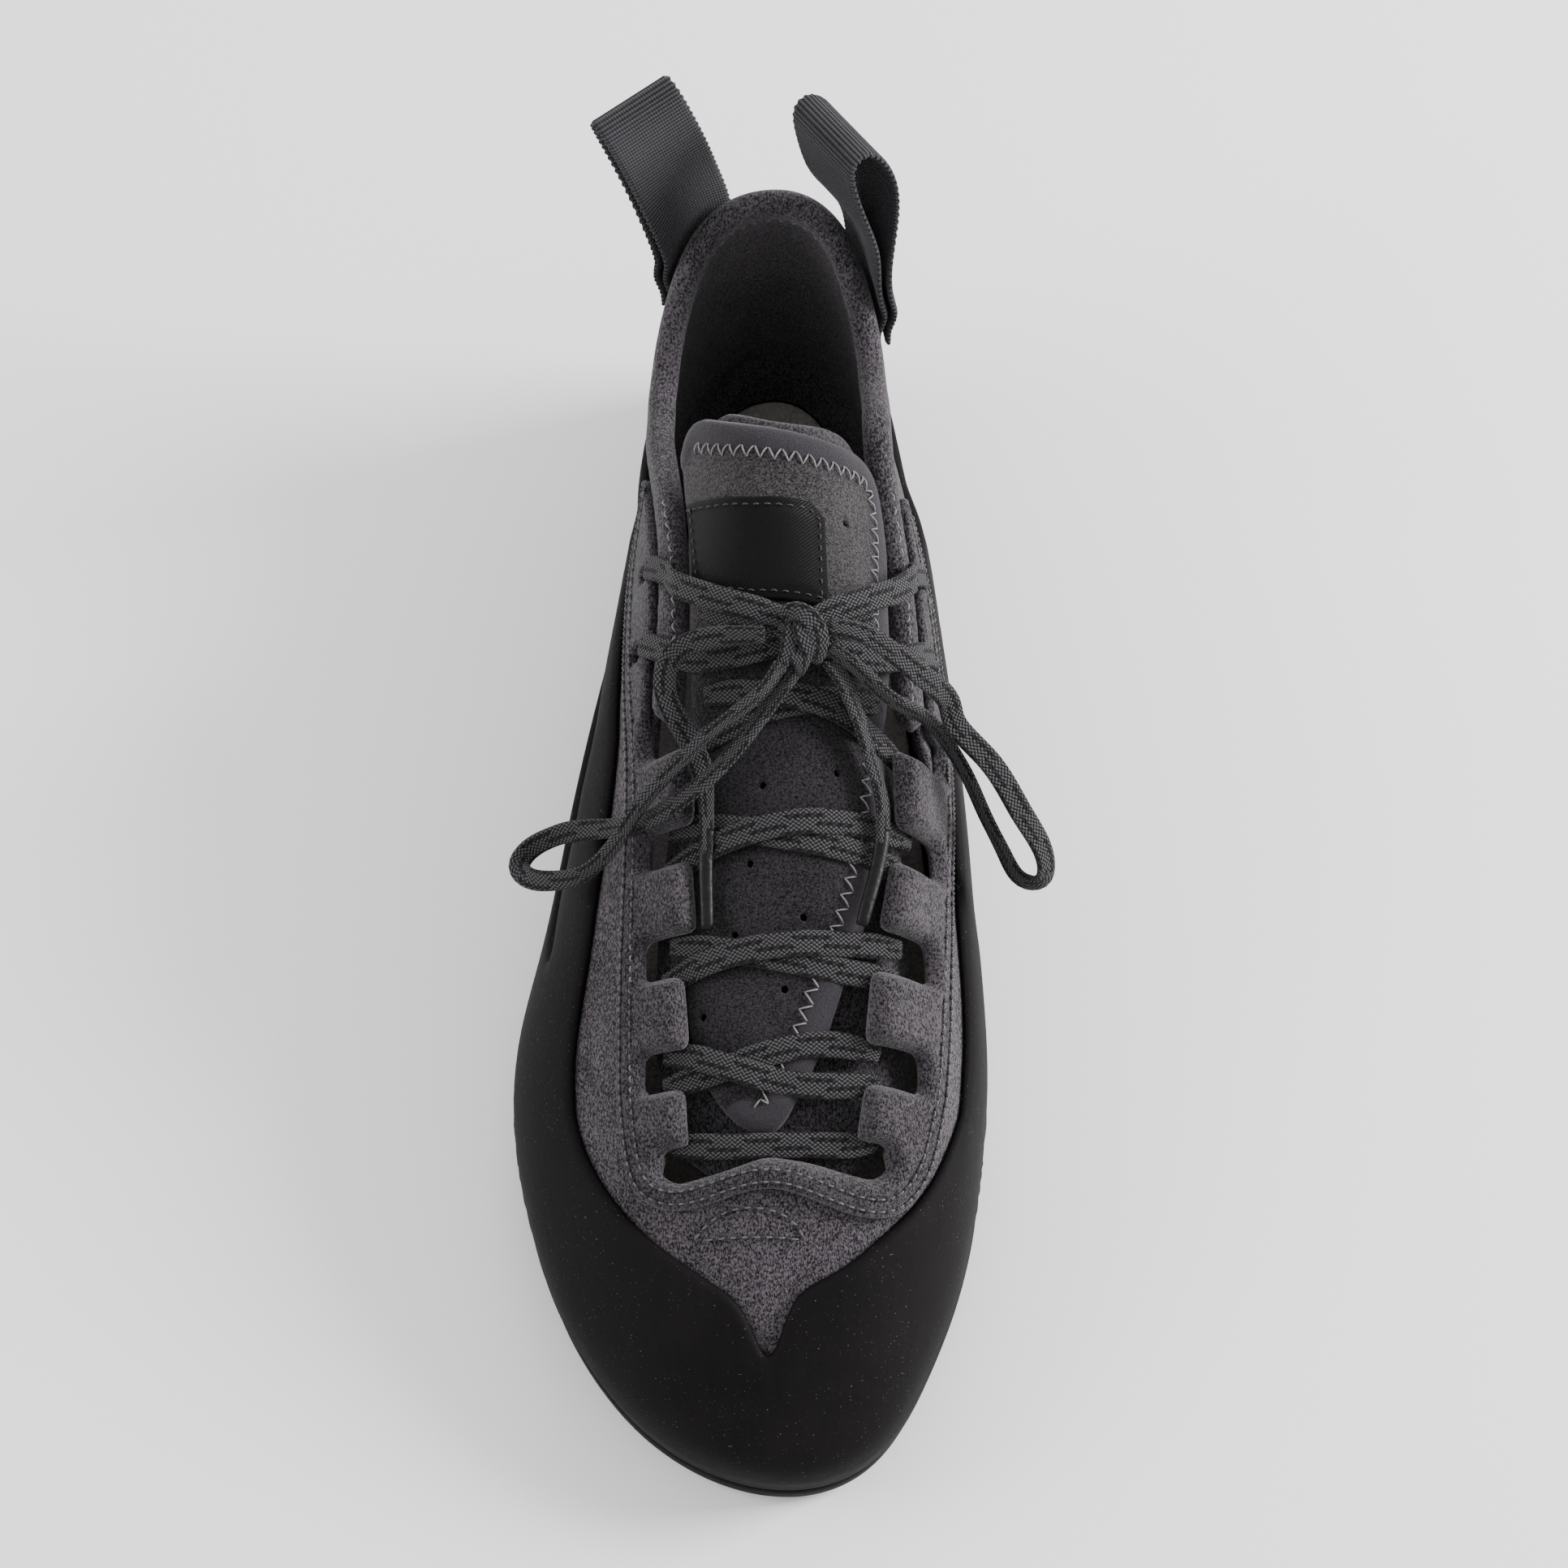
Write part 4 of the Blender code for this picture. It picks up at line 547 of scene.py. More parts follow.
class Wire:
    """An output in a finish's node tree. Sums on it add Math nodes to that tree."""

    def __init__(self, tree, socket=None):
        self.tree, self.socket = tree, socket

    def node(self, kind, settings=None, inputs=None, output=0):
        """A node of a type: its settings first, then the values or links of its sockets."""
        made = self.tree.nodes.new(kind)
        for key, value in (settings or {}).items():
            setattr(made, key, value)
        for key, value in (inputs or {}).items():
            if isinstance(value, Wire):
                self.tree.links.new(value.socket, made.inputs[key])
            else:
                made.inputs[key].default_value = value
        return Wire(self.tree, made.outputs[output])

    def place(self):
        """The place on the object, in metres."""
        return self.node("ShaderNodeTexCoord", {}, {}, "Object")

    def mark(self, axis):
        """The place on the piece's own map, in millimetres, along its axis 0 or 1."""
        at = self.node("ShaderNodeTexCoord", {}, {}, "UV")
        return self.node("ShaderNodeSeparateXYZ", {}, {0: at}, axis)

    def math(self, operation, *values):
        return self.node("ShaderNodeMath", {"operation": operation}, dict(enumerate(values)))

    def floor(self):
        return self.math("FLOOR", self)

    def fraction(self):
        return self.math("FRACT", self)

    def drawn_out(self, **settings):
        """This place turned and scaled, so that a noise on it has long grains."""
        return self.node("ShaderNodeMapping", {}, {"Vector": self, **settings})

    def __add__(self, other):
        return self.math("ADD", self, other)

    def __sub__(self, other):
        return self.math("SUBTRACT", self, other)

    def __rsub__(self, other):
        return self.math("SUBTRACT", other, self)

    def __mul__(self, other):
        return self.math("MULTIPLY", self, other)

    def __truediv__(self, other):
        return self.math("DIVIDE", self, other)

    def __mod__(self, other):
        return self.math("FLOORED_MODULO", self, other)

    def __pow__(self, other):
        return self.math("POWER", self, other)

    def __abs__(self):
        return self.math("ABSOLUTE", self)

    def __lt__(self, other):
        return self.math("LESS_THAN", self, other)

    def __gt__(self, other):
        return self.math("GREATER_THAN", self, other)

    __radd__, __rmul__ = __add__, __mul__

    def clamped(self):
        return self.node("ShaderNodeClamp", {}, {"Value": self})

    def between(self, low, high):
        """0 below low, 1 above high, eased between them."""
        return self.node("ShaderNodeMapRange", {"interpolation_type": "SMOOTHSTEP"},
                         {"Value": self, "From Min": low, "From Max": high})

    def noise(self, scale, detail=2.0, rough=0.5, warp=0.0):
        """Noise at this place, as a number around a half. Scale is in grains a metre."""
        return self.node("ShaderNodeTexNoise", {}, {"Vector": self, "Scale": scale, "Detail": detail,
                                                    "Roughness": rough, "Distortion": warp})

    def tinted(self, low, high):
        """From the colour low at 0 to the colour high at 1."""
        return self.node("ShaderNodeMix", {"data_type": "RGBA"}, {0: self, 6: (*low, 1), 7: (*high, 1)}, 2)

    def over(self, under, top):
        """Where this is 1, the colour top, else the colour under; both are wires or colours."""
        ends = [v if isinstance(v, Wire) else (*v, 1) for v in (under, top)]
        return self.node("ShaderNodeMix", {"data_type": "RGBA"}, {0: self, 6: ends[0], 7: ends[1]}, 2)

    def bump(self, depth):
        """The normal of this height, whose full range is depth in metres."""
        return self.node("ShaderNodeBump", {}, {"Height": self, "Distance": depth, "Strength": 1.0})


def new_finish(name, **constants):
    """A material with its shader's constants set, and a wire to build it from."""
    material = bpy.data.materials.new(name)
    material.use_nodes = True
    shader = material.node_tree.nodes["Principled BSDF"]
    for key, value in constants.items():
        shader.inputs[key.replace("_", " ")].default_value = value
    return material, shader, Wire(material.node_tree)


def dress(shader, **wires):
    """Feeds a shader's sockets from wires."""
    for key, wire in wires.items():
        wire.tree.links.new(wire.socket, shader.inputs[key.replace("_", " ")])


def piece(name, points, faces, material, slot, nodes=(), marks=None):
    """A finished mesh that rides on the shoe. marks is each vertex's place on a map, in mm."""
    mesh = bpy.data.meshes.new(name)
    mesh.from_pydata(np.asarray(points).tolist(), [], [tuple(int(i) for i in f) for f in faces])
    if marks is not None:
        layer = mesh.uv_layers.new(name="map")
        corner = np.empty(len(mesh.loops), np.int32)
        mesh.loops.foreach_get("vertex_index", corner)
        layer.data.foreach_set("uv", np.asarray(marks, np.float32)[corner].ravel())
    mesh.shade_smooth()
    mesh.materials.append(material)
    item = bpy.data.objects.new(name, mesh)
    bpy.context.scene.collection.objects.link(item)
    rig.ride(item, "root")
    if slot:
        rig.slot(item, slot)
    if nodes:
        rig.replaces(item, *nodes)
    return item


def joined(parts):
    """Several (points, faces, marks) as one."""
    points, faces, marks, start = [], [], [], 0
    for p, f, m in parts:
        points.append(p)
        marks.append(m)
        faces += [tuple(i + start for i in face) for face in f]
        start += len(p)
    return np.vstack(points), faces, np.vstack(marks)


def tube_faces(rings, sides, capped=True):
    """Faces of a tube of so many rings, each with so many points."""
    corners = [(j, (j + 1) % sides) for j in range(sides)]
    faces = [(i * sides + j, i * sides + m, (i + 1) * sides + m, (i + 1) * sides + j)
             for i in range(rings - 1) for j, m in corners]
    if capped:
        faces += [tuple(range(sides))[::-1], tuple(range((rings - 1) * sides, rings * sides))]
    return faces


def plump(angle, full):
    """Two shares across and up a round that is flattened into a rounded box as full grows."""
    c, s = np.cos(angle), np.sin(angle)
    return np.sign(c) * np.abs(c) ** (2 / full), np.sign(s) * np.abs(s) ** (2 / full)


RIBBON_SIDES, DENT_WIDTH = 20, 0.35


def ribbon(path, across, width=LACE_WIDTH, thick=LACE_THICKNESS, full=2.6, dent=0.16):
    """A flat tube along a path, with its width along across. Width and thickness may be numbers
    or one for each point. Its marks are how far round and how far along the tube, in mm."""
    path = np.asarray(path, float)
    n = len(path)
    run = unit(np.gradient(path, axis=0))
    across = unit(across - run * np.sum(across * run, axis=1)[:, None])
    up = np.cross(run, across)
    width, thick = np.zeros(n) + width, np.zeros(n) + thick
    wide, high = plump(np.linspace(0, 2 * np.pi, RIBBON_SIDES, endpoint=False), full)
    high *= 1 - dent * np.exp(-(wide / DENT_WIDTH) ** 2)
    rings = (path[:, None] + across[:, None] * (wide[None, :, None] * width[:, None, None] / 2)
             + up[:, None] * (high[None, :, None] * thick[:, None, None] / 2))
    around = walked(np.stack([wide * width.max(), high * thick.max()], -1) / 2)
    around = np.minimum(around, 2 * around[RIBBON_SIDES // 2] - around)
    marks = np.stack(np.broadcast_arrays(around[None, :], walked(path)[:, None]), -1) * 1000
    return rings.reshape(-1, 3), tube_faces(n, RIBBON_SIDES), marks.reshape(-1, 2)


def braid_finish():
    """Two sets of yarns that cross over two and under two. One set turns black in short runs,
    which show as rows of dashes along the lace."""
    material, shader, wire = new_finish("lace braid", Specular_IOR_Level=0.12, Sheen_Weight=0.05)
    place, around, reach = wire.place(), wire.mark(0), wire.mark(1)
    yarn, pitch = 0.84, 1.08
    lane_width, lane_shift, dash_period, dash_length = 0.84, 2.9, 13.4, 7.2
    p, q = around / yarn + reach / pitch, around / yarn - reach / pitch
    row_p, row_q = p.floor(), q.floor()
    top = (row_p - row_q) % 4 < 1.5
    ridge_p, ridge_q = (1 - abs(v.fraction() * 2 - 1) ** 2.2 for v in (p, q))
    yarns = ridge_p * top + ridge_q * (1 - top)
    height = yarns * (0.55 + 0.45 * (ridge_p * (1 - top) + ridge_q * top))
    lane = ((row_p + row_q) * (yarn / 2 / lane_width)).floor()
    along = (row_p - row_q) * (pitch / 2) + lane * lane_shift + 200 * dash_period
    black = (along % dash_period < dash_length) * (lane % 2 < 0.5) * (0.70 + 0.30 * top)
    mottle = place.noise(2400, 2)
    # Painted highlight and painted shade: the yarns' crests are lighter and the gaps between them near-black, over the
    # grey and black yarns' own colours.
    tone = (height ** 1.7 * 1.35 + mottle * 0.5 - 0.40).clamped()
    grey = tone.tinted((0.0012, 0.0012, 0.0013), (0.078, 0.073, 0.079))
    inked = tone.tinted((0.0008, 0.0008, 0.0008), (0.0055, 0.0052, 0.0055))
    dress(shader, Base_Color=black.clamped().over(grey, inked),
          Roughness=0.86 - 0.16 * yarns,
          Normal=(height + mottle * 0.12).bump(0.00045))
    return material


BRAID = braid_finish()
LACE_STEP, MOUTH_REACH, SIDE_STEP = 0.001, 0.006, 0.0008


def lace_strand(line, layer, over=None, dive=0):
    """A lace along a pattern line. Where it lies over another line it rises by its thickness,
    it is pinched at both ends, and its start may dive by a depth into an eyelet."""
    places = smooth(shares(line), LACE_STEP, closed=False)
    lift = np.full(len(places), LACE_THICKNESS / 2)
    if over is not None:
        other = smooth(shares(over), LACE_STEP, closed=False)
        gap = np.min(np.linalg.norm(places[:, None] - other[None], axis=2), axis=1)
        lift += 0.85 * LACE_THICKNESS * soft_step((1.05 * LACE_WIDTH - gap) / (0.45 * LACE_WIDTH))
    walk = np.linspace(0, 1, len(places))
    length = walked(places)[-1]
    at_start, at_end = (np.clip(1 - way * length / MOUTH_REACH, 0, 1) for way in (walk, 1 - walk))
    lift -= dive * at_start ** 2
    centre = lace_course(places, layer, lift)
    across = lace_course(places + leftward(places) * SIDE_STEP, layer, lift) - centre
    pinch = 1 - 0.22 * np.maximum(at_start, at_end)
    return ribbon(centre, across, LACE_WIDTH * pinch, LACE_THICKNESS * 0.86 / pinch ** 0.6)


def braided(name, node, strands):
    """A piece of lace made of one or more strands."""
    points, faces, marks = joined(strands)
    return piece(name, points, faces, BRAID, "lace_braid", [node], marks)


BAR = ((-0.320, 0.783), (-0.160, 0.789), (0.000, 0.790), (0.100, 0.789), (0.160, 0.784))
braided("lace_bar_weave", "lace_bar_1", [lace_strand(BAR, 0)])

# Each crossing's lower and upper strand, from the little toe's side to the big toe's.
CROSSINGS = {
    2: (((-0.325, 0.739), (-0.200, 0.731), (-0.050, 0.718), (0.080, 0.715), (0.160, 0.719)),
        ((-0.325, 0.714), (-0.230, 0.722), (-0.110, 0.737), (0.020, 0.745), (0.160, 0.740))),
    3: (((-0.310, 0.634), (-0.200, 0.642), (-0.080, 0.651), (0.080, 0.661), (0.215, 0.661)),
        ((-0.325, 0.661), (-0.200, 0.650), (-0.050, 0.643), (0.100, 0.641), (0.235, 0.636))),
    4: (((-0.320, 0.546), (-0.200, 0.551), (-0.060, 0.563), (0.100, 0.571), (0.285, 0.579)),
        ((-0.330, 0.577), (-0.200, 0.566), (-0.050, 0.556), (0.120, 0.552), (0.300, 0.549))),
    5: (((0.216, 0.456), (0.100, 0.462), (-0.080, 0.472), (-0.200, 0.482), (-0.310, 0.492)),
        ((-0.215, 0.452), (-0.080, 0.458), (0.060, 0.466), (0.190, 0.480), (0.320, 0.496))),
}
for number, (lower, upper) in CROSSINGS.items():
    braided(f"lace_crossing_{number}_weave", f"lace_crossing_{number}",
            [lace_strand(lower, 0), lace_strand(upper, 0, over=lower)])

# The runs that come out of the lower eyelets pass under the bow to the other side of the tongue.
EYELETS = ((-0.436, 0.326), (-0.427, 0.395), (0.512, 0.318), (0.474, 0.393))
EYELET_RUNS = (
    (EYELETS[1], (-0.400, 0.394), (-0.319, 0.407), (-0.227, 0.424), (-0.080, 0.428), (0.060, 0.416),
     (0.185, 0.396)),
    (EYELETS[3], (0.447, 0.393), (0.345, 0.405), (0.232, 0.422), (0.080, 0.428), (-0.060, 0.414),
     (-0.186, 0.392)),
)
HOLE_DIVE, EYELET_LAYER, TOP_LAYER = 0.0058, 1.2, 3.2
braided("lace_crossing_6_weave", "lace_crossing_6", [
    lace_strand(EYELET_RUNS[1], EYELET_LAYER, dive=HOLE_DIVE),
    lace_strand(EYELET_RUNS[0], EYELET_LAYER, over=EYELET_RUNS[1], dive=HOLE_DIVE)])

TOP_RUNS = (
    (EYELETS[0], (-0.408, 0.328), (-0.325, 0.342), (-0.227, 0.370), (-0.108, 0.395), (0.000, 0.412)),
    (EYELETS[2], (0.485, 0.321), (0.362, 0.340), (0.238, 0.372), (0.105, 0.398), (0.030, 0.412)),
)
braided("lace_top_run_weave", "lace_top_run",
        [lace_strand(run, TOP_LAYER, dive=HOLE_DIVE) for run in TOP_RUNS])


# The bow's routes: rows of girth place and length place in millimetres and height over the
# last, or x, y, z where the lace hangs beside the shoe, then how far its face is rolled.
def over_last(rows):
    rows = np.array(rows, float) / 1000
    return LAST.point(rows[:, 0], rows[:, 1]) + LAST.normal(rows[:, 0], rows[:, 1]) * rows[:, 2:]


END_LATERAL = over_last((
    (-4.2, 109.4, 7.6), (-9, 109.0, 8.2), (-15, 109.0, 9.0), (-20, 111, 9.4), (-22.5, 116, 8.4),
    (-22, 122, 5.6), (-19.5, 130, 2.4), (-19, 137, 1.2), (-19, 143, 1.0), (-19.5, 150, 0.8),
    (-19.5, 156, 0.8), (-19.5, 162, 0.8)))
END_MEDIAL = over_last((
    (5.4, 113.5, 5.6), (8, 117, 4.2), (10.5, 121, 2.8), (13, 126, 1.6), (15, 132, 1.4), (16.5, 137, 1.4),
    (16.5, 143, 1.2), (15, 150, 1.0), (13, 156, 1.0), (11, 162, 0.9)))
LOOP_LATERAL = np.vstack([
    over_last(((-2.2, 114.6, 6.6), (-5, 119, 6.6), (-10, 123, 6.6), (-16, 127, 7.0), (-20, 130, 7.2),
               (-24, 133, 7.8), (-29, 137, 8.2), (-36, 143, 7.8))),
    np.array(((-40.6, -119.4, 54.8), (-46.5, -119.0, 51.0), (-51.5, -117.0, 48.0), (-53.6, -113.6, 46.5),
              (-51.8, -110.2, 46.6), (-47.5, -108.6, 49.0), (-42.8, -108.6, 52.2))) / 1000,
    over_last(((-40, 138, 5.0), (-30, 139, 4.6), (-23, 137.5, 5.2), (-15, 133, 4.6), (-9, 127, 3.6),
               (-4, 121, 3.8), (0.5, 115.5, 5.2))),
])
LOOP_MEDIAL = np.vstack([
    over_last(((5.2, 108.0, 8.4), (9, 109, 10.6), (14, 112, 11.4), (21, 115, 11.4), (28, 117, 10.6))),
    np.array(((34.0, -92.0, 69.0), (41.0, -99.0, 65.0), (47.8, -107.4, 58.0), (52.6, -113.4, 50.5),
              (52.0, -116.4, 45.5), (48.4, -115.6, 44.0), (44.6, -111.6, 48.0), (40.4, -105.8, 54.6),
              (36.6, -99.6, 60.4))) / 1000,
    over_last(((29, 120.5, 6.4), (22, 120, 7.0), (15, 119, 7.2), (9.5, 115, 7.6), (5.4, 111.8, 7.8))),
])
VIEW = np.array((0.0, -0.44, 0.90))


def free_lace(name, node, route, rolls, widths, keep=1.0, far_end="object", with_pieces=()):
    """A stretch of the bow. rolls and widths are rows of a share of the way and the face's roll
    in degrees, or the width as a share of the lace's."""
    path = smooth(route, LACE_STEP, closed=False)
    path = path[: int(len(path) * keep)]
    run = unit(np.gradient(path, axis=0))
    side = unit(np.cross(run, VIEW))
    up = np.cross(side, run)
    share = np.linspace(0, 1, len(path))
    roll = np.radians(np.interp(share, *np.transpose(rolls)))[:, None]
    wide = np.interp(share, *np.transpose(widths))
    across = side * np.cos(roll) + up * np.sin(roll)
    thick = LACE_THICKNESS * np.interp(wide, (0.5, 1.0), (1.35, 0.92))
    item = braided(name, node, [ribbon(path, across, LACE_WIDTH * wide, thick)])
    length = float(walked(path)[-1])
    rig.cord(item, exit=path[0], length=length, diameter=LACE_WIDTH, far_end=far_end, stiffness="limp",
            lay="loose", path=path[::4], with_pieces=with_pieces)


def tip_finish():
    """Shrunk black film, smooth with a faint lengthwise crease. Its black is darkened further as painted shade, for
    the shade beside the tongue where the tips lie.
    """
    material, shader, wire = new_finish("lace tip film", Specular_IOR_Level=0.20)
    place = wire.place()
    grain = place.noise(500, 3)
    dress(shader, Base_Color=grain.tinted((0.0015, 0.0015, 0.0015), (0.0050, 0.0047, 0.0050)),
          Roughness=0.30 + 0.25 * grain, Normal=grain.bump(0.0002))
    return material


TIP_LENGTH, TIP_WIDTH, TIP_THICKNESS = 0.021, 0.0030, 0.0019
TIP_FILM = tip_finish()


def lace_tip(name, route):
    """The film sleeve on the last stretch of a lace's end."""
    path = smooth(route, LACE_STEP, closed=False)
    path = path[-int(round(TIP_LENGTH / LACE_STEP)):]
    run = unit(np.gradient(path, axis=0))
    across = unit(np.cross(run, VIEW))
    round_off = np.interp(np.linspace(0, 1, len(path)), (0, 0.94, 1), (1, 0.9, 0.72))
    points, faces, marks = ribbon(path, across, TIP_WIDTH * round_off, TIP_THICKNESS * round_off, 2.2, 0)
    return piece(name, points, faces, TIP_FILM, None, (), marks)


tips = [lace_tip("lace_tip_lateral", END_LATERAL), lace_tip("lace_tip_medial", END_MEDIAL)]

# The knot: the wrap over the bow's middle, the strand crossing under it, the folded lower
# corner and the filling, in millimetres from its middle: right, towards the toe, up, half width.
KNOT = np.array((0.0012, 0.1090))
knot_up = tongue_up(KNOT[None])[0]
knot_right = unit(np.array((1.0, 0, 0)) - knot_up * knot_up[0])
knot_toe = np.cross(knot_up, knot_right)
knot_toe *= -np.sign(knot_toe[1])
knot_base = lace_course(KNOT[None], TOP_LAYER, LACE_THICKNESS * 0.6)[0]
KNOT_STRANDS = (
    ((-3.4, -4.0, 0.4, 1.9), (-1.8, -5.0, 1.4, 2.1), (0.4, -4.6, 2.6, 2.2), (2.4, -2.6, 3.2, 2.2),
     (3.4, 0.2, 2.8, 2.1), (3.4, 2.8, 1.6, 1.8), (2.8, 4.6, 0.2, 1.3)),
    ((0.2, -3.8, 1.6, 1.6), (0.2, -1.8, 2.6, 1.8), (0.8, 0.4, 2.8, 1.8), (1.8, 2.4, 2.0, 1.6),
     (2.6, 4.0, 0.6, 1.2)),
    ((-1.8, -2.8, 0.8, 1.4), (-2.0, -0.6, 1.8, 1.7), (-2.4, 1.8, 1.7, 1.6), (-3.2, 4.4, 0.9, 1.4),
     (-4.2, 6.4, 0.2, 1.2)),
    ((-0.4, 0.6, 0.6, 2.6), (-0.2, 2.4, 1.3, 2.8), (0.0, 4.2, 1.4, 2.2), (0.1, 6.0, 0.8, 1.3),
     (0.1, 7.2, 0.2, 0.5)),
    ((-4.2, -1.6, -0.2, 1.6), (-1.6, -0.8, 0.9, 2.6), (1.2, 0.4, 0.9, 2.6), (4.0, 0.8, -0.2, 1.6)),
)
strands = []
for rows in KNOT_STRANDS:
    rows = smooth(np.array(rows) / 1000, 0.0005, closed=False)
    path = knot_base + rows[:, :1] * knot_right + rows[:, 1:2] * knot_toe + rows[:, 2:3] * knot_up
    across = np.cross(np.gradient(path, axis=0), knot_up + 0 * path)
    strands.append(ribbon(path, across, rows[:, 3] * 2, LACE_THICKNESS * 0.95, dent=0.08))
knot = braided("lace_knot_weave", "lace_knot", strands)

free_lace("lace_end_lateral_weave", "lace_end_lateral", END_LATERAL,
          ((0, 35), (0.25, 10), (0.6, 20), (1, 10)),
          ((0, 0.75), (0.2, 0.9), (0.7, 0.9), (0.85, 0.6), (1, 0.5)), 0.82, "fitting", [tips[0]])
free_lace("lace_end_medial_weave", "lace_end_medial", END_MEDIAL, ((0, 30), (0.3, 52), (0.7, 58), (1, 40)),
          ((0, 0.7), (0.3, 0.8), (0.8, 0.7), (1, 0.5)), 0.72, "fitting", [tips[1]])
free_lace("lace_loop_lateral_weave", "lace_loop_lateral", LOOP_LATERAL,
          ((0, 40), (0.15, 58), (0.36, 50), (0.46, 10), (0.56, -20), (0.66, 35), (0.85, 45), (1, 30)),
          ((0, 0.6), (0.2, 0.72), (0.45, 0.85), (0.6, 0.85), (0.8, 0.82), (1, 0.6)), 1.0, "object", [knot])
free_lace("lace_loop_medial_weave", "lace_loop_medial", LOOP_MEDIAL,
          ((0, 20), (0.2, 12), (0.4, 16), (0.52, 50), (0.62, 62), (0.8, 55), (1, 30)),
          ((0, 0.7), (0.15, 0.92), (0.45, 0.95), (0.6, 0.8), (0.8, 0.75), (1, 0.6)))

# Upper: one hollow shell of split suede with its nap outside, 2 mm with its lining, pulled over
# the last and closed by the sole. The collar and the throat are cut out, and four eyelets are
# punched beside the throat for the lace.
TABS = (
    (0.488, 0.547, -0.238, -0.243, -0.368, 0.238, 0.227, 0.430),
    (0.574, 0.628, -0.249, -0.238, -0.368, 0.205, 0.162, 0.355),
    (0.659, 0.713, -0.270, -0.259, -0.368, 0.141, 0.119, 0.298),
    (0.742, 0.777, -0.270, -0.270, -0.368, 0.119, 0.108, 0.255),
)
THROAT_FOOT = (
    (-0.330, 0.787), (-0.346, 0.803), (-0.303, 0.815), (-0.200, 0.808), (-0.097, 0.798), (0.000, 0.804),
    (0.086, 0.812), (0.151, 0.816), (0.190, 0.803), (0.176, 0.787),
)
EYELET_HOLE, SLOT_LEDGE = 0.0044, 0.008
UPPER_EDGE_DROP, UPPER_EDGE_RADIUS = 0.0006, 0.0009
EDGE_ROWS = (0.0004, 0.0009, 0.0016)

# Creases that wear and lasting leave: two ends on the pattern, width and height in millimetres.
CREASES = (
    (-0.620, 0.175, -0.800, 0.215, 5.0, -0.7), (-0.660, 0.120, -0.830, 0.130, 5.5, -0.8),
    (0.560, 0.160, 0.790, 0.190, 5.0, -0.7), (0.620, 0.100, 0.800, 0.105, 5.5, -0.7),
    (-0.480, 0.610, -0.520, 0.730, 4.0, -0.5), (0.470, 0.560, 0.400, 0.700, 4.0, -0.5),
    (-0.360, 0.835, -0.180, 0.862, 3.5, -0.35), (0.260, 0.825, 0.060, 0.868, 3.5, -0.35),
    (-0.600, 0.300, -0.545, 0.420, 6.0, 0.5), (0.600, 0.300, 0.545, 0.400, 6.0, 0.5),
    (-0.100, 0.840, -0.100, 0.900, 7.0, 0.4),
)


def relief(places):
    """Height of the creases at pattern places. Every layer over the upper follows it."""
    height = np.zeros(len(places))
    for a0, b0, a1, b1, width, rise in CREASES:
        start, end = shares([(a0, b0), (a1, b1)])
        way = end - start
        t = np.clip((places - start) @ way / (way @ way), 0, 1)
        gap = np.linalg.norm(places - start - t[:, None] * way, axis=1)
        height += rise / 1000 * np.exp(-(gap / width * 1000) ** 2)
    return height


def inside(points, ring):
    """Which points lie inside a closed line."""
    p, q = ring, np.roll(ring, -1, axis=0)
    found = []
    for some in np.array_split(points, max(1, len(points) // 4000)):
        x, y = some[:, 0][:, None], some[:, 1][:, None]
        crosses = (p[:, 1] > y) != (q[:, 1] > y)
        with np.errstate(divide="ignore", invalid="ignore"):
            at = (q[:, 0] - p[:, 0]) * (y - p[:, 1]) / (q[:, 1] - p[:, 1]) + p[:, 0]
        found.append(np.sum(crosses & (x < at), axis=1) % 2 == 1)
    return np.concatenate(found)


def gap_finder(samples):
    """A function that gives the distance of points to the nearest of these samples."""
    tree = kdtree.KDTree(len(samples))
    for i, p in enumerate(samples):
        tree.insert((p[0], p[1], 0), i)
    tree.balance()
    return lambda points: np.array([tree.find((p[0], p[1], 0))[2] for p in points])


SAMPLE_STEP, EDGE_STEP = 0.0003, 0.0012


def gap_to(points, line):
    """Distance of points to a line."""
    return gap_finder(walk_line(line, SAMPLE_STEP))(points)


def closed(line):
    return np.vstack([line, line[:1]])


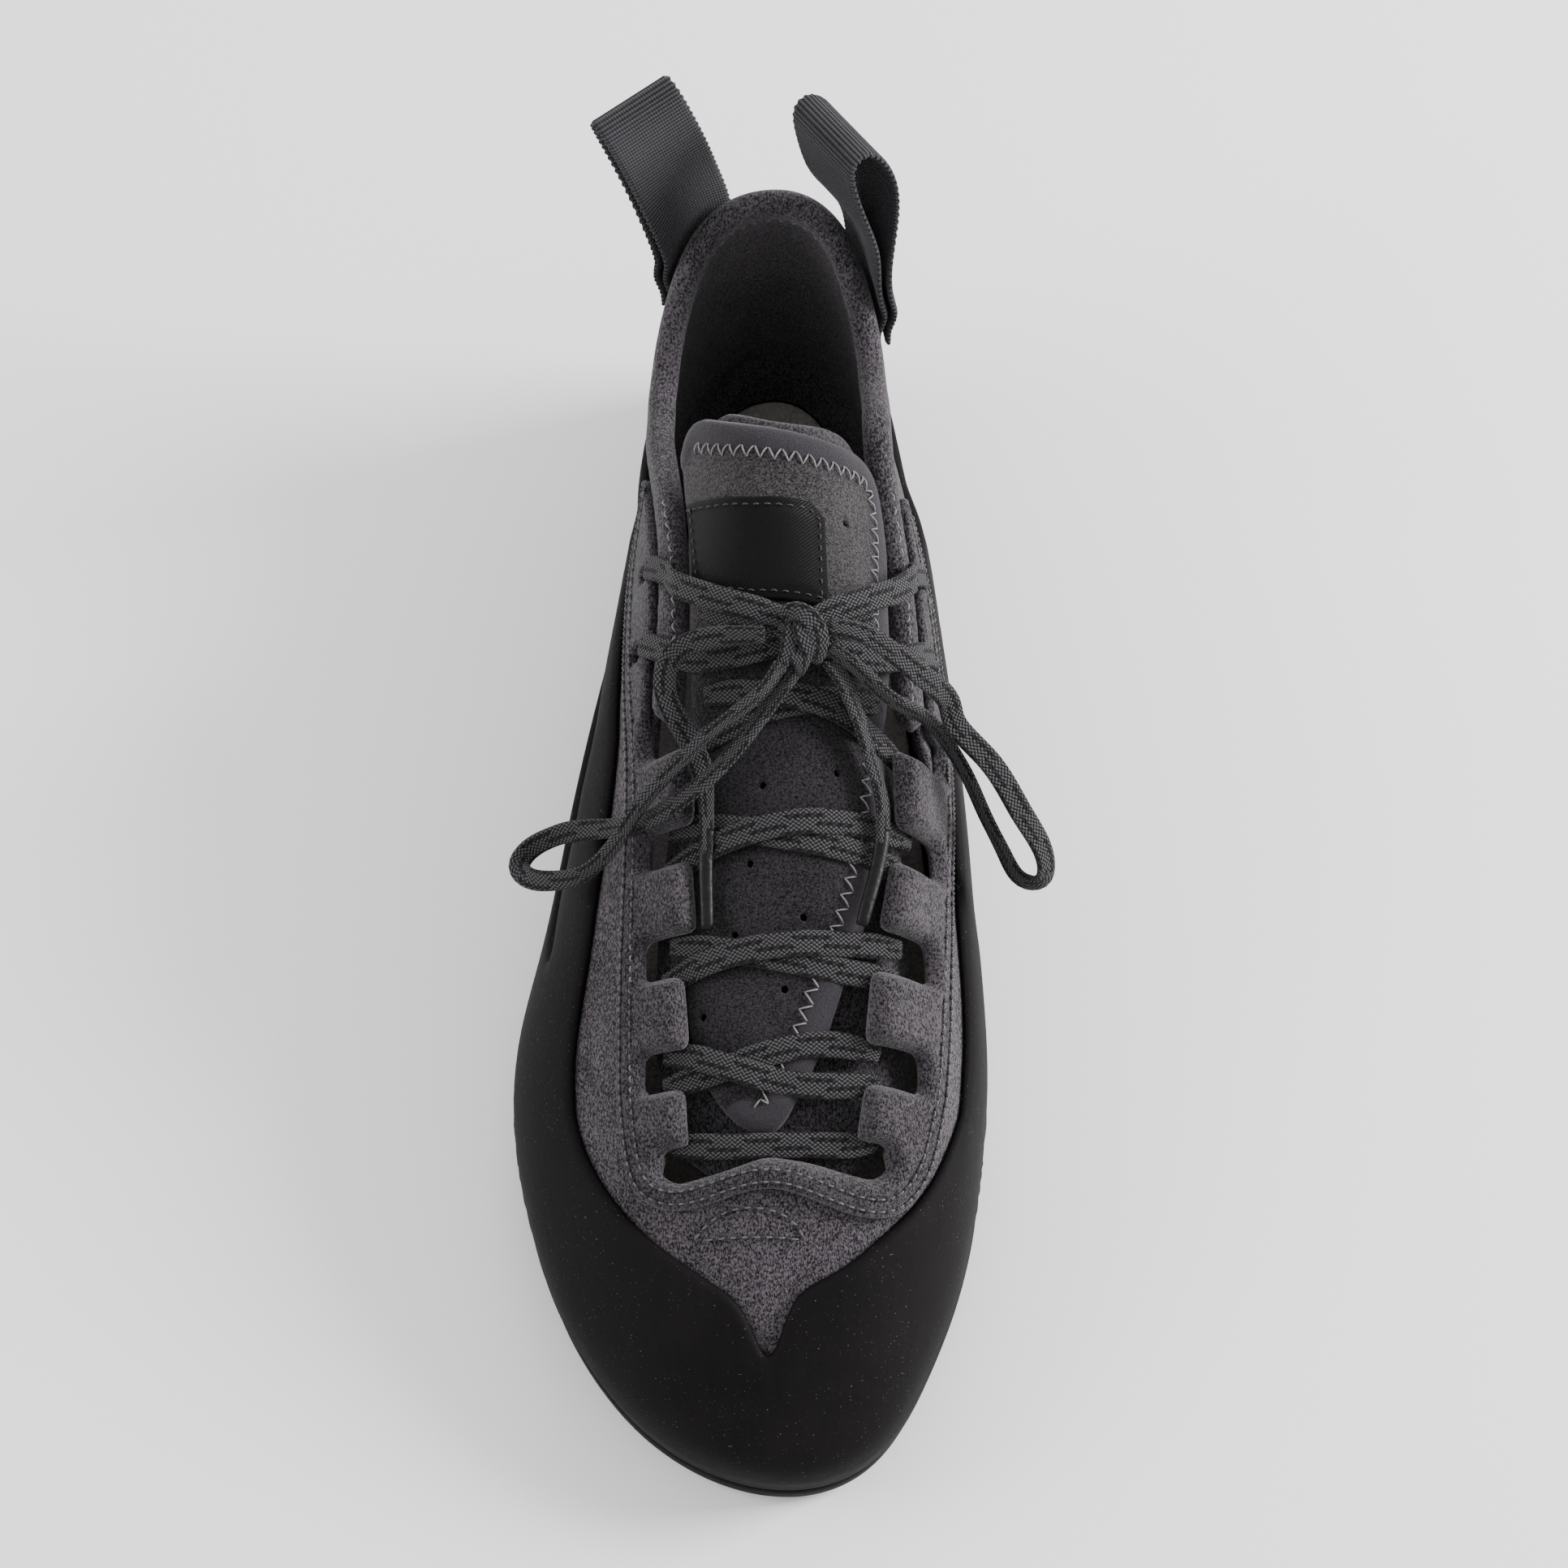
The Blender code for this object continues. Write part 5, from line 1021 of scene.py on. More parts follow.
def cut_sheet(rings, holes, step, rows=EDGE_ROWS):
    """Flat pattern piece as a fine mesh: places, faces, and the distance to its cut edge. Extra
    rows of points along the edge let it be rounded."""
    along_edge, count = min(step, EDGE_STEP), len(rings)
    lines = [walk_line(closed(np.asarray(r, float)), along_edge, True) for r in [*rings, *holes]]

    def within(points):
        keep = np.zeros(len(points), bool)
        for ring in lines[:count]:
            keep |= inside(points, ring)
        for ring in lines[count:]:
            keep &= ~inside(points, ring)
        return keep

    every = np.vstack([closed(line) for line in lines])
    gap_of = gap_finder(np.vstack([walk_line(closed(line), along_edge / 4, True)[: len(line) * 4]
                                   for line in lines]))
    extra = []
    for line in lines:
        run = unit(np.roll(line, -1, axis=0) - np.roll(line, 1, axis=0))
        side = np.stack([-run[:, 1], run[:, 0]], -1)
        for row in rows:
            for way in (-row, row):
                shifted = line + side * way
                shifted = shifted[gap_of(shifted) > 0.85 * row]
                extra.append(shifted[within(shifted)] if len(shifted) else shifted)
    row_step = step * 0.866
    low, high = np.floor(every.min(0) / (step, row_step)), np.ceil(every.max(0) / (step, row_step))
    i, j = np.meshgrid(np.arange(low[0], high[0] + 1), np.arange(low[1], high[1] + 1))
    grid = np.stack([(i + j % 2 / 2) * step, j * row_step], -1).reshape(-1, 2)
    grid = grid[within(grid)]
    grid = grid[gap_of(grid) > rows[-1] + step * 0.55]
    start, edges = 0, []
    for line in lines:
        n = len(line)
        edges += [(start + k, start + (k + 1) % n) for k in range(n)]
        start += n
    places = np.vstack(lines + extra + [grid])
    verts, _, faces, _, _, _ = delaunay_2d_cdt([Vector(p) for p in places], edges, [], 0, 1e-8)
    verts = np.array([tuple(v) for v in verts])
    faces = np.array([f for f in faces if len(f) == 3])
    faces = faces[within(verts[faces].mean(axis=1))]
    used, faces = np.unique(faces, return_inverse=True)
    verts, faces = verts[used], faces.reshape(-1, 3)
    p = verts[faces]
    e1, e2 = p[:, 1] - p[:, 0], p[:, 2] - p[:, 0]
    spin = e1[:, 0] * e2[:, 1] - e1[:, 1] * e2[:, 0]
    faces[spin < 0] = faces[spin < 0][:, ::-1]
    return verts, faces, gap_of(verts)


def shell(name, sheet, top, bottom, material, slot, nodes, marks=None):
    """A sheet's closed skin between its top and bottom points."""
    verts, faces, _ = sheet
    n = len(verts)
    e1, e2 = top[faces[:, 1]] - top[faces[:, 0]], top[faces[:, 2]] - top[faces[:, 0]]
    outward = np.mean(np.sum(np.cross(e1, e2) * (top - bottom)[faces[:, 0]], axis=1)) > 0
    pairs = np.vstack([faces[:, [0, 1]], faces[:, [1, 2]], faces[:, [2, 0]]])
    known = set(map(tuple, pairs.tolist()))
    rim = [(i, j) for i, j in pairs.tolist() if (j, i) not in known]
    upside, downside = faces, faces[:, ::-1] + n
    sides = [(i, i + n, j + n, j) for i, j in rim]
    if not outward:
        upside, downside, sides = upside[:, ::-1], downside[:, ::-1], [s[::-1] for s in sides]
    every = upside.tolist() + downside.tolist() + sides
    if marks is not None:
        marks = np.vstack([marks, marks])
    return piece(name, np.vstack([top, bottom]), every, material, slot, nodes, marks)


def ridge(gap, rise, at, spread):
    """Height of a soft ridge, or of a groove where rise is negative, at a distance from a line."""
    return rise * np.exp(-((gap - at) / spread) ** 2)


def rounded(gap, radius):
    """How far a rounded edge has dropped, as a share, at a distance from the edge."""
    t = 1 - np.clip(gap / radius, 0, 1)
    return 1 - np.sqrt(np.maximum(0, 1 - t * t))


def suede_finish(name, deep, pale, nap):
    """Napped split leather: matte, with short fibres that lie in patches."""
    material, shader, wire = new_finish(name, Specular_IOR_Level=0.05, Sheen_Weight=0.20,
                                        Sheen_Roughness=0.45)
    place = wire.place()
    lean = place.drawn_out(Rotation=(0.3, 0.2, 0.9), Scale=(1.0, 0.42, 0.7))
    fibre, pile = lean.noise(2300 * nap, 3, 0.6, 0.4), place.noise(1250 * nap, 2)
    patch, wear = place.noise(52, 3, 0.55, 0.8), place.noise(11, 2)
    tone = 0.47 + (fibre - 0.5) * 3.9 + (pile - 0.5) * 2.4 + (patch - 0.5) * 0.8 + (wear - 0.5) * 0.5
    base = tone.clamped().tinted(deep, pale)
    lint = (place.noise(3800, 1) > 0.735) * (place.noise(420, 1) > 0.5)
    colour = (lint * 0.30).over(base, tuple(min(1, c * 2.6) for c in pale))
    dress(shader, Base_Color=colour, Roughness=0.98 - 0.10 * patch,
          Normal=(fibre * 0.62 + pile * 0.5 + patch * 0.8).bump(0.00055))
    return material


# The upper and the facing are one suede, given as a lit and a shaded copy. The upper's walls are painted lighter as
# painted side light, and the facing is painted darker as painted shade.
SIDE_LIT_SUEDE = suede_finish("plum grey suede", (0.0080, 0.0070, 0.0082), (0.108, 0.095, 0.108), 1.55)
SHADED_FACING_SUEDE = suede_finish("facing suede", (0.0060, 0.0053, 0.0061), (0.078, 0.069, 0.078), 1.5)


def circles(centres, size, sides):
    """Round cuts of a size about pattern places given as shares."""
    turn = np.linspace(0, 2 * np.pi, sides, endpoint=False)
    return [centre + size / 2 * np.stack([np.cos(turn), np.sin(turn)], -1) for centre in shares(centres)]


eyelet_rings = circles(EYELETS, EYELET_HOLE, 16)
collar_line = smooth(collar, 0.0016, closed=False)
roll_seat = LAST.aside(smooth(collar, 0.0062, closed=False), -(ROLL_WIDTH / 2 + CLEARANCE))
opening = np.vstack([
    roll_seat,
    shares([(t[7] + SLOT_LEDGE, b) for t in TABS for b in t[:2]]),
    shares([(a, b + SLOT_LEDGE / 2) for a, b in THROAT_FOOT[::-1]]),
    shares([(t[4] - SLOT_LEDGE, b) for t in TABS[::-1] for b in t[1::-1]]),
])
upper_sheet = cut_sheet([LAST.foot_line(CLEARANCE)], [opening] + eyelet_rings, 0.0019)
places, _, rim = upper_sheet
fold = relief(places)
shell("upper_suede", upper_sheet,
      LAST.lifted(places, fold - UPPER_EDGE_DROP * rounded(rim, UPPER_EDGE_RADIUS)),
      LAST.lifted(places, fold - UPPER_WALL), SIDE_LIT_SUEDE, "suede", ["upper"])


# Sewing thread: bonded polyester in single stitches. Each stitch is a short arc of thread that
# goes down into its holes at both ends.
def thread_finish(name, deep, pale):
    material, shader, wire = new_finish(name, Specular_IOR_Level=0.45, Sheen_Weight=0.1)
    place = wire.place()
    twist = place.noise(2600, 2)
    dress(shader, Base_Color=twist.tinted(deep, pale), Roughness=0.62 - 0.2 * twist,
          Normal=twist.bump(0.00015))
    return material


DARK_THREAD = thread_finish("charcoal thread", (0.022, 0.020, 0.022), (0.150, 0.140, 0.150))
# Painted shade: near-black pieces that stand for the shade inside the needle holes.
NEEDLE_HOLE_SHADE = thread_finish("sunken thread", (0.0008, 0.0008, 0.0008), (0.003, 0.003, 0.003))
PALE_THREAD = thread_finish("silver thread", (0.035, 0.034, 0.036), (0.27, 0.26, 0.27))
THREAD_SIDES, STITCH_RINGS, END_DEPTH = 6, 7, 0.0004
FINE_STEP = 0.0005


def stitch(start, end, up, radius, rise):
    """One stitch between two holes."""
    t = np.linspace(0, 1, STITCH_RINGS)[:, None]
    lift = (np.sin(np.pi * t) ** 0.6) * rise - END_DEPTH * (1 - np.sin(np.pi * t))
    path = start * (1 - t) + end * t + up * lift
    run = unit(np.gradient(path, axis=0))
    side = unit(np.cross(run, up))
    over = np.cross(side, run)
    turn = np.linspace(0, 2 * np.pi, THREAD_SIDES, endpoint=False)
    swell = radius * (0.8 + 0.2 * np.sin(np.pi * t))
    rings = (path[:, None] + side[:, None] * (np.cos(turn) * swell)[..., None]
             + over[:, None] * (np.sin(turn) * swell)[..., None])
    return rings.reshape(-1, 3), tube_faces(STITCH_RINGS, THREAD_SIDES), np.zeros((rings.size // 3, 2))


def running_stitch(points, ups, length, gap, radius=0.00020, rise=0.00022, sway=0.0, sunken=False):
    """Stitches along a fine line of points. sway moves each stitch's ends to alternate sides, and sunken puts short
    near-black pieces in the needle holes between the stitches: painted shade of the holes."""
    reach = walked(points)
    size = (radius * 1.7, rise * 0.8) if sunken else (radius, rise)
    count = int(reach[-1] / (length + gap))
    pitch, made = reach[-1] / count, []

    def at(s):
        return np.array([np.interp(s, reach, points[:, c]) for c in range(3)])

    for k in range(1 if sunken else 0, count):
        s = k * pitch
        start, end = (at(s - gap), at(s)) if sunken else (at(s), at(s + pitch - gap))
        up = unit(ups[np.searchsorted(reach, min(s + length / 2, reach[-1] * 0.999))])
        side = unit(np.cross(end - start, up)) * sway * (1 if k % 2 else -1)
        made.append(stitch(start - side, end + side, up, *size))
    return made


def sew(name, stitches, thread):
    points, faces, marks = joined(stitches)
    return piece(name, points, faces, thread, None, (), marks)


def sew_seams(part, seams, length, gap):
    """Dark stitches along seams of points and upward directions, and near-black pieces in their needle holes as
    painted shade.
    """
    for name, thread, sunken in (("stitching", DARK_THREAD, False), ("needle_holes", NEEDLE_HOLE_SHADE, True)):
        made = [one for seam in seams for one in running_stitch(*seam, length, gap, sunken=sunken)]
        sew(f"{part}_{name}", made, thread)


def on_upper(line, lift):
    """Points and outward directions along a pattern line at a height over the upper."""
    return LAST.lifted(line, relief(line) + lift), LAST.normal(line[:, 0], line[:, 1])


VAMP_ARC = (
    (-0.266, 0.858), (-0.235, 0.847), (-0.185, 0.838), (-0.130, 0.836), (-0.075, 0.840), (-0.035, 0.849),
    (-0.011, 0.862),
)
VAMP_BASE = ((-0.240, 0.859), (-0.150, 0.8585), (-0.060, 0.860), (-0.018, 0.862))
VAMP_STITCH_LIFT = 0.00030
sew_seams("vamp", [on_upper(smooth(shares(row), FINE_STEP, closed=False), VAMP_STITCH_LIFT)
                   for row in (VAMP_ARC, VAMP_BASE)], length=0.0017, gap=0.0007)


# Collar roll: foam wrapped in the same suede, turned over the upper's top edge from the lace
# tabs round the heel, and caught down by a pale overlock seam.
ROLL_SUEDE = suede_finish("collar suede", (0.0060, 0.0053, 0.0062), (0.086, 0.076, 0.087), 1.4)
SEAM_PITCH, ROLL_SIDES, ROLL_FULL, END_ROUND = 0.0046, 28, 2.3, 0.003

line = collar_line
centres = LAST.lifted(line, relief(line) - ROLL_SINK)
out = LAST.normal(line[:, 0], line[:, 1])
run = unit(np.gradient(centres, axis=0))
side = unit(np.cross(run, out))
out = np.cross(side, run)
reach = walked(centres)
ends = np.minimum(reach, reach[-1] - reach)
close_off = np.sqrt(np.clip(ends / END_ROUND, 0.02, 1))
turn = np.linspace(0, 2 * np.pi, ROLL_SIDES, endpoint=False)
high, wide = plump(turn, ROLL_FULL)
high, wide = high * ROLL_THICKNESS / 2, wide * ROLL_WIDTH / 2
pucker = 1 + 0.028 * np.sin(2 * np.pi * reach / SEAM_PITCH)[:, None] * np.maximum(0, -np.sin(turn))
pucker = pucker + 0.02 * np.sin(reach / 0.011 + 1.3)[:, None]
size = pucker * close_off[:, None]
rings = (centres[:, None] + out[:, None] * (high * size)[..., None]
         + side[:, None] * (wide * size)[..., None])
faces = [(face[0], *face[:0:-1]) for face in tube_faces(len(rings), ROLL_SIDES)]
collar_roll = piece("collar_roll_suede", rings.reshape(-1, 3), faces, ROLL_SUEDE, "suede", ["collar_roll"])
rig.padded(collar_roll, fill=0.9)

# The overlock glints along the roll's inner foot at the heel.
inner_seam, outer_seam = (centres + side * (way * ROLL_WIDTH * 0.40) - out * (ROLL_THICKNESS * 0.40)
                          for way in (-1, 1))
heel_part = line[:, 1] < 0.30 * LENGTH
below = min(inner_seam[heel_part], outer_seam[heel_part], key=lambda seam: np.mean(seam[:, 2]))
sew("collar_overlock", running_stitch(below, -out[heel_part], 0.0016, 0.0012, rise=0.0002, sway=0.0005),
    PALE_THREAD)


# Lace facing: a second layer of suede around the throat. Between its four pairs of tabs are
# slots, each tab is folded back over itself as a tunnel for the lace, and two rows of stitches
# hold the facing to the upper.
FACING_OUTER = (
    (-0.515, 0.230), (-0.556, 0.268), (-0.560, 0.305), (-0.522, 0.360), (-0.472, 0.426), (-0.440, 0.484),
    (-0.427, 0.581), (-0.427, 0.680), (-0.424, 0.765), (-0.390, 0.818), (-0.303, 0.834), (-0.200, 0.829),
    (-0.097, 0.822), (0.000, 0.830), (0.108, 0.843), (0.200, 0.840), (0.275, 0.812), (0.318, 0.755),
    (0.368, 0.647), (0.420, 0.565), (0.480, 0.490), (0.512, 0.430), (0.536, 0.372), (0.556, 0.330),
    (0.540, 0.285), (0.490, 0.250),
)
TAB_CORNER, TAB_ROLL, TAB_DROP = 0.0022, 0.0026, 0.00185
SEAM_ROWS, SEAM_DEPTH, SEAM_SPREAD = (0.0014, 0.0038), 0.00034, 0.00055
OUTER_DROP, RIM_DROP, CUT_RADIUS = 0.0013, 0.0009, 0.0012
TURNED_DOWN, TURN_REACH = 0.0010, 0.0034

# Rise, distance from the edge and spread of the tabs' padding, the lip along the throat, the
# groove behind it and the pillow between the seams.
TAB_PUFF, LIP, LIP_GROOVE = (0.0011, 0.0036, 0.0042), (0.00075, 0.0019, 0.0010), (-0.00018, 0.0048, 0.0012)
SEAM_PILLOW = (0.00022, np.mean(SEAM_ROWS), 0.0008)


def soft_corners(points, radius):
    """An open outline with each corner cut by a small arc."""
    p, made = np.array(points, float), [points[0]]
    for i in range(1, len(p) - 1):
        u, v = p[i - 1] - p[i], p[i + 1] - p[i]
        lu, lv = np.linalg.norm(u), np.linalg.norm(v)
        r = min(radius, 0.45 * lu, 0.45 * lv)
        start, end = p[i] + u / lu * r, p[i] + v / lv * r
        made += [(1 - t) ** 2 * start + 2 * t * (1 - t) * p[i] + t * t * end
                 for t in (0, 0.25, 0.5, 0.75, 1)]
    return np.array(made + [points[-1]])


def tab_edge(inner, slot):
    """The throat edge of one side from the ankle down, as shares."""
    rows, above = [], TABS[0][0] - 0.026
    for tab in TABS:
        rows += [(tab[slot], above), (tab[slot], tab[0]), (tab[inner[0]], tab[0]), (tab[inner[1]], tab[1])]
        above = tab[1]
    return rows


facing_outer = smooth(shares(FACING_OUTER), 0.0010, closed=False)
lateral_seat = roll_seat[roll_seat[:, 0] < 0]
lateral_seat = lateral_seat[lateral_seat[:, 1] > FACING_OUTER[0][1] * LENGTH]
medial_seat = roll_seat[roll_seat[:, 0] > 0]
medial_seat = medial_seat[medial_seat[:, 1] > FACING_OUTER[-1][1] * LENGTH]
shoulders = [(TABS[-1][3], THROAT_FOOT[0][1] - 0.002), (TABS[-1][6], THROAT_FOOT[-1][1] - 0.002)]
throat_edge = soft_corners(shares(tab_edge((5, 6), 7) + [shoulders[1]] + list(THROAT_FOOT[::-1])
                                  + [shoulders[0]] + tab_edge((2, 3), 4)[::-1]), TAB_CORNER)
facing_sheet = cut_sheet([np.vstack([facing_outer, medial_seat, throat_edge, lateral_seat])],
                         eyelet_rings, 0.0013)
places, _, rim = facing_sheet
outer_gap, throat_gap = gap_to(places, facing_outer), gap_to(places, throat_edge)

puff = np.zeros(len(places))
for tab in TABS:
    for inner in ((tab[2], tab[3]), (tab[5], tab[6])):
        a, b = places[:, 0] / BALL_WIDTH, places[:, 1] / LENGTH
        tip = np.interp(b, tab[:2], inner)
        deep = np.where(np.sign(a) == np.sign(inner[0]), np.abs(a) - np.abs(tip), 1.0) * BALL_WIDTH
        window = soft_step((b - tab[0] + 0.004) / 0.012) * soft_step((tab[1] + 0.004 - b) / 0.012)
        puff += window * ridge(deep, *TAB_PUFF)
lip = ridge(throat_gap, *LIP) + ridge(throat_gap, *LIP_GROOVE)
seams = sum(ridge(outer_gap, -SEAM_DEPTH, row, SEAM_SPREAD) for row in SEAM_ROWS)
pillow = ridge(outer_gap, *SEAM_PILLOW)
drop = TAB_DROP * rounded(np.minimum(rim, throat_gap), TAB_ROLL) * (throat_gap < TAB_ROLL)
drop = np.maximum(drop, OUTER_DROP * rounded(outer_gap, CUT_RADIUS))
drop = np.maximum(drop, RIM_DROP * rounded(rim, CUT_RADIUS))
turned_down = TURNED_DOWN * soft_step(1 - throat_gap / TURN_REACH) * (places[:, 1] > 0.47 * LENGTH)
fold = relief(places)
facing_top = fold + FACING_LIFT + FACING_THICKNESS + puff + lip + seams + pillow - drop - turned_down
shell("lace_facing_suede", facing_sheet, LAST.lifted(places, facing_top),
      LAST.lifted(places, fold + FACING_LIFT + 0.6 * puff - turned_down),
      SHADED_FACING_SUEDE, "suede", ["lace_facing"])

seam_lines = [LAST.aside(walk_line(facing_outer, 0.0010), -row)[::4] for row in SEAM_ROWS]
seam_lift = FACING_LIFT + FACING_THICKNESS - 0.00010
sew_seams("facing", [on_upper(smooth(line, FINE_STEP, closed=False), seam_lift) for line in seam_lines],
          length=0.0016, gap=0.0006)

# A pale row catches the facing to the collar roll on both sides of the throat.
joint_stitches = []
for part in (collar_line[: len(collar_line) // 2], collar_line[len(collar_line) // 2:]):
    near = (part[:, 1] > 0.262 * LENGTH) & (part[:, 1] < 0.462 * LENGTH)
    row = LAST.aside(part[near], 0.0046)
    row = smooth(row[::3], FINE_STEP, closed=False)
    joint_stitches += running_stitch(*on_upper(row, FACING_LIFT + FACING_THICKNESS - 0.0003),
                                     length=0.0019, gap=0.0010, radius=0.00017, rise=0.00016, sway=0.00022)
sew("roll_joint_stitching", joint_stitches, PALE_THREAD)


# Tongue: one flap of coarse suede with a smooth suede binding, joined by a pale zigzag, over a
# plain second flap. Nine air holes are punched through the upper flap.
TONGUE = (
    (-0.314, 0.236), (-0.262, 0.226), (-0.174, 0.236), (-0.060, 0.250), (0.060, 0.256), (0.197, 0.254),
    (0.293, 0.252), (0.346, 0.262), (0.364, 0.286), (0.353, 0.325), (0.322, 0.360), (0.290, 0.410),
    (0.258, 0.470), (0.235, 0.520), (0.205, 0.565), (0.174, 0.598), (0.132, 0.637), (0.086, 0.670),
    (0.030, 0.718), (-0.023, 0.752), (-0.086, 0.780), (-0.151, 0.775), (-0.225, 0.745), (-0.272, 0.700),
    (-0.285, 0.600), (-0.282, 0.504), (-0.270, 0.440), (-0.272, 0.400), (-0.284, 0.345), (-0.308, 0.295),
    (-0.328, 0.258),
)
UNDER_TONGUE = (
    (-0.270, 0.236), (-0.205, 0.227), (-0.130, 0.233), (-0.020, 0.243), (0.130, 0.241), (0.270, 0.232),
    (0.340, 0.238), (0.368, 0.262), (0.368, 0.300), (0.352, 0.340), (0.318, 0.390), (0.303, 0.440),
    (0.340, 0.500), (0.348, 0.581), (0.303, 0.678), (0.259, 0.756), (0.151, 0.806), (0.000, 0.826),
    (-0.162, 0.822), (-0.292, 0.798), (-0.357, 0.756), (-0.389, 0.659), (-0.389, 0.560), (-0.350, 0.500),
    (-0.285, 0.450), (-0.276, 0.400), (-0.290, 0.335), (-0.305, 0.290), (-0.300, 0.255),
)
AIR_HOLES = (
    (0.183, 0.320), (-0.087, 0.526), (0.095, 0.516), (-0.122, 0.582), (-0.002, 0.623), (-0.161, 0.633),
    (-0.050, 0.675), (-0.237, 0.690), (0.048, 0.768),
)
TONGUE_THICKNESS, UNDER_TONGUE_THICKNESS, AIR_HOLE = 0.0024, 0.0022, 0.0018
BINDING_WIDTH, BINDING_RISE = 0.0058, 0.00045
BINDING_ROLL = (0.00025, BINDING_WIDTH * 0.45, 0.0015)
TONGUE_DROP, TONGUE_RADIUS, HOLE_DROP, HOLE_RADIUS, PILLOW_RISE = 0.0016, 0.0018, 0.0006, 0.0008, 0.0008
PLAIN_RIM = 0.0012
PRESSED_AT = (0.422, 0.475, 0.563, 0.648, 0.728, 0.787)


def pillows(places, height):
    """Between the lace's crossings the tongue stands a little prouder than under them."""
    b = places[:, 1] / LENGTH
    pressed = sum(np.exp(-((b - centre) / 0.022) ** 2) for centre in PRESSED_AT)
    return height * np.clip(1 - pressed, 0, 1) * soft_step((b - 0.40) / 0.08)


def bound_suede_finish():
    """Coarse nap inside the zigzag, smooth nap on the binding outside it. Further down the tongue the coarse nap is
    painted darker, as painted shade under the laces.
    """
    material, shader, wire = new_finish("tongue suede", Specular_IOR_Level=0.05, Sheen_Weight=0.18,
                                        Sheen_Roughness=0.45)
    place, inward, down = wire.place(), wire.mark(0), wire.mark(1)
    bound = 1 - inward.between(BINDING_WIDTH * 1000 - 0.3, BINDING_WIDTH * 1000 + 0.3)
    # Painted shade: from the middle of the tongue towards the toe, the coarse nap's colour darkens for the shade under
    # the laces and slots.
    painted_lower_shade = down.between(0.34 * LENGTH * 1000, 0.46 * LENGTH * 1000)
    coarse, fine, patch = place.noise(2100, 3, 0.65, 0.3), place.noise(2600, 2), place.noise(60, 3)
    grain = coarse * (1 - bound) + fine * bound
    tone = 0.5 + (coarse - 0.5) * 3.0 * (1 - bound) + (fine - 0.5) * (1.6 - bound * 0.6)
    tone = (tone + (patch - 0.5) * 0.6).clamped()
    unshaded = tone.tinted((0.0045, 0.0040, 0.0045), (0.066, 0.060, 0.064))
    rough = painted_lower_shade.over(unshaded, tone.tinted((0.0020, 0.0018, 0.0020), (0.036, 0.032, 0.036)))
    smooth_tone = tone.tinted((0.016, 0.0140, 0.0165), (0.046, 0.041, 0.048))
    dress(shader, Base_Color=bound.over(rough, smooth_tone), Roughness=0.97 - 0.07 * bound,
          Normal=(grain * (1.15 - bound * 0.6) + patch * 0.5).bump(0.00045))
    return material


TONGUE_SUEDE = bound_suede_finish()
tongue_ring = smooth(shares(TONGUE), 0.0010)
tongue_sheet = cut_sheet([tongue_ring], circles(AIR_HOLES, AIR_HOLE, 14), 0.0014, (0.0004, 0.0010))
places, _, rim = tongue_sheet
bound_end = np.argmin(np.linalg.norm(tongue_ring - shares([TONGUE[21]])[0], axis=1))
bound_gap, outline_gap = gap_to(places, tongue_ring[:bound_end]), gap_to(places, closed(tongue_ring))
height = BINDING_RISE * soft_step((BINDING_WIDTH - bound_gap) / 0.0008) + pillows(places, PILLOW_RISE)
height += ridge(bound_gap, *BINDING_ROLL) - TONGUE_DROP * rounded(outline_gap, TONGUE_RADIUS)
height -= HOLE_DROP * rounded(rim, HOLE_RADIUS) * (outline_gap > PLAIN_RIM)
shell("tongue_suede", tongue_sheet, from_tongue(places, height),
      from_tongue(places, np.minimum(height - 0.0004, -TONGUE_THICKNESS + pillows(places, 0.0006))),
      TONGUE_SUEDE, "suede", ["tongue"], np.stack([bound_gap, places[:, 1]], -1) * 1000)

under_ring = smooth(shares(UNDER_TONGUE), 0.0014)
under_sheet = cut_sheet([under_ring], [], 0.0020, (0.0005, 0.0012))
places = under_sheet[0]
under_gap = gap_to(places, closed(under_ring))
under_top = -TONGUE_THICKNESS - CLEARANCE - FACET_ALLOWANCE
FLAP_SUEDE = suede_finish("under flap suede", (0.0060, 0.0054, 0.0060), (0.060, 0.054, 0.060), 1.4)
shell("tongue_under_suede", under_sheet,
      from_tongue(places, under_top - 0.0014 * rounded(under_gap, 0.0016)),
      from_tongue(places, under_top - UNDER_TONGUE_THICKNESS), FLAP_SUEDE, "suede", ["tongue_under"])

# The zigzag: one thread that swings over the binding's edge from side to side.
ZIG_SWING, ZIG_PITCH, ZIG_RADIUS, ZIG_RISE = 0.0013, 0.0017, 0.00019, 0.00030
bound_edge = tongue_ring[:bound_end]
way = leftward(bound_edge)
way *= np.sign(np.sum((tongue_ring.mean(axis=0) - bound_edge) * way))
zig_centre = walk_line(bound_edge + way * BINDING_WIDTH, ZIG_PITCH)
swing = ZIG_SWING * np.where(np.arange(len(zig_centre)) % 2, 1, -1)[:, None]
swung = zig_centre + leftward(zig_centre) * swing
surface = from_tongue(swung, 0.0002 + BINDING_RISE * 0.5 + pillows(swung, PILLOW_RISE))
ups = tongue_up(swung)
sew("tongue_zigzag", [stitch(surface[i], surface[i + 1], ups[i], ZIG_RADIUS, ZIG_RISE)
                      for i in range(1, len(surface) - 1)], PALE_THREAD)


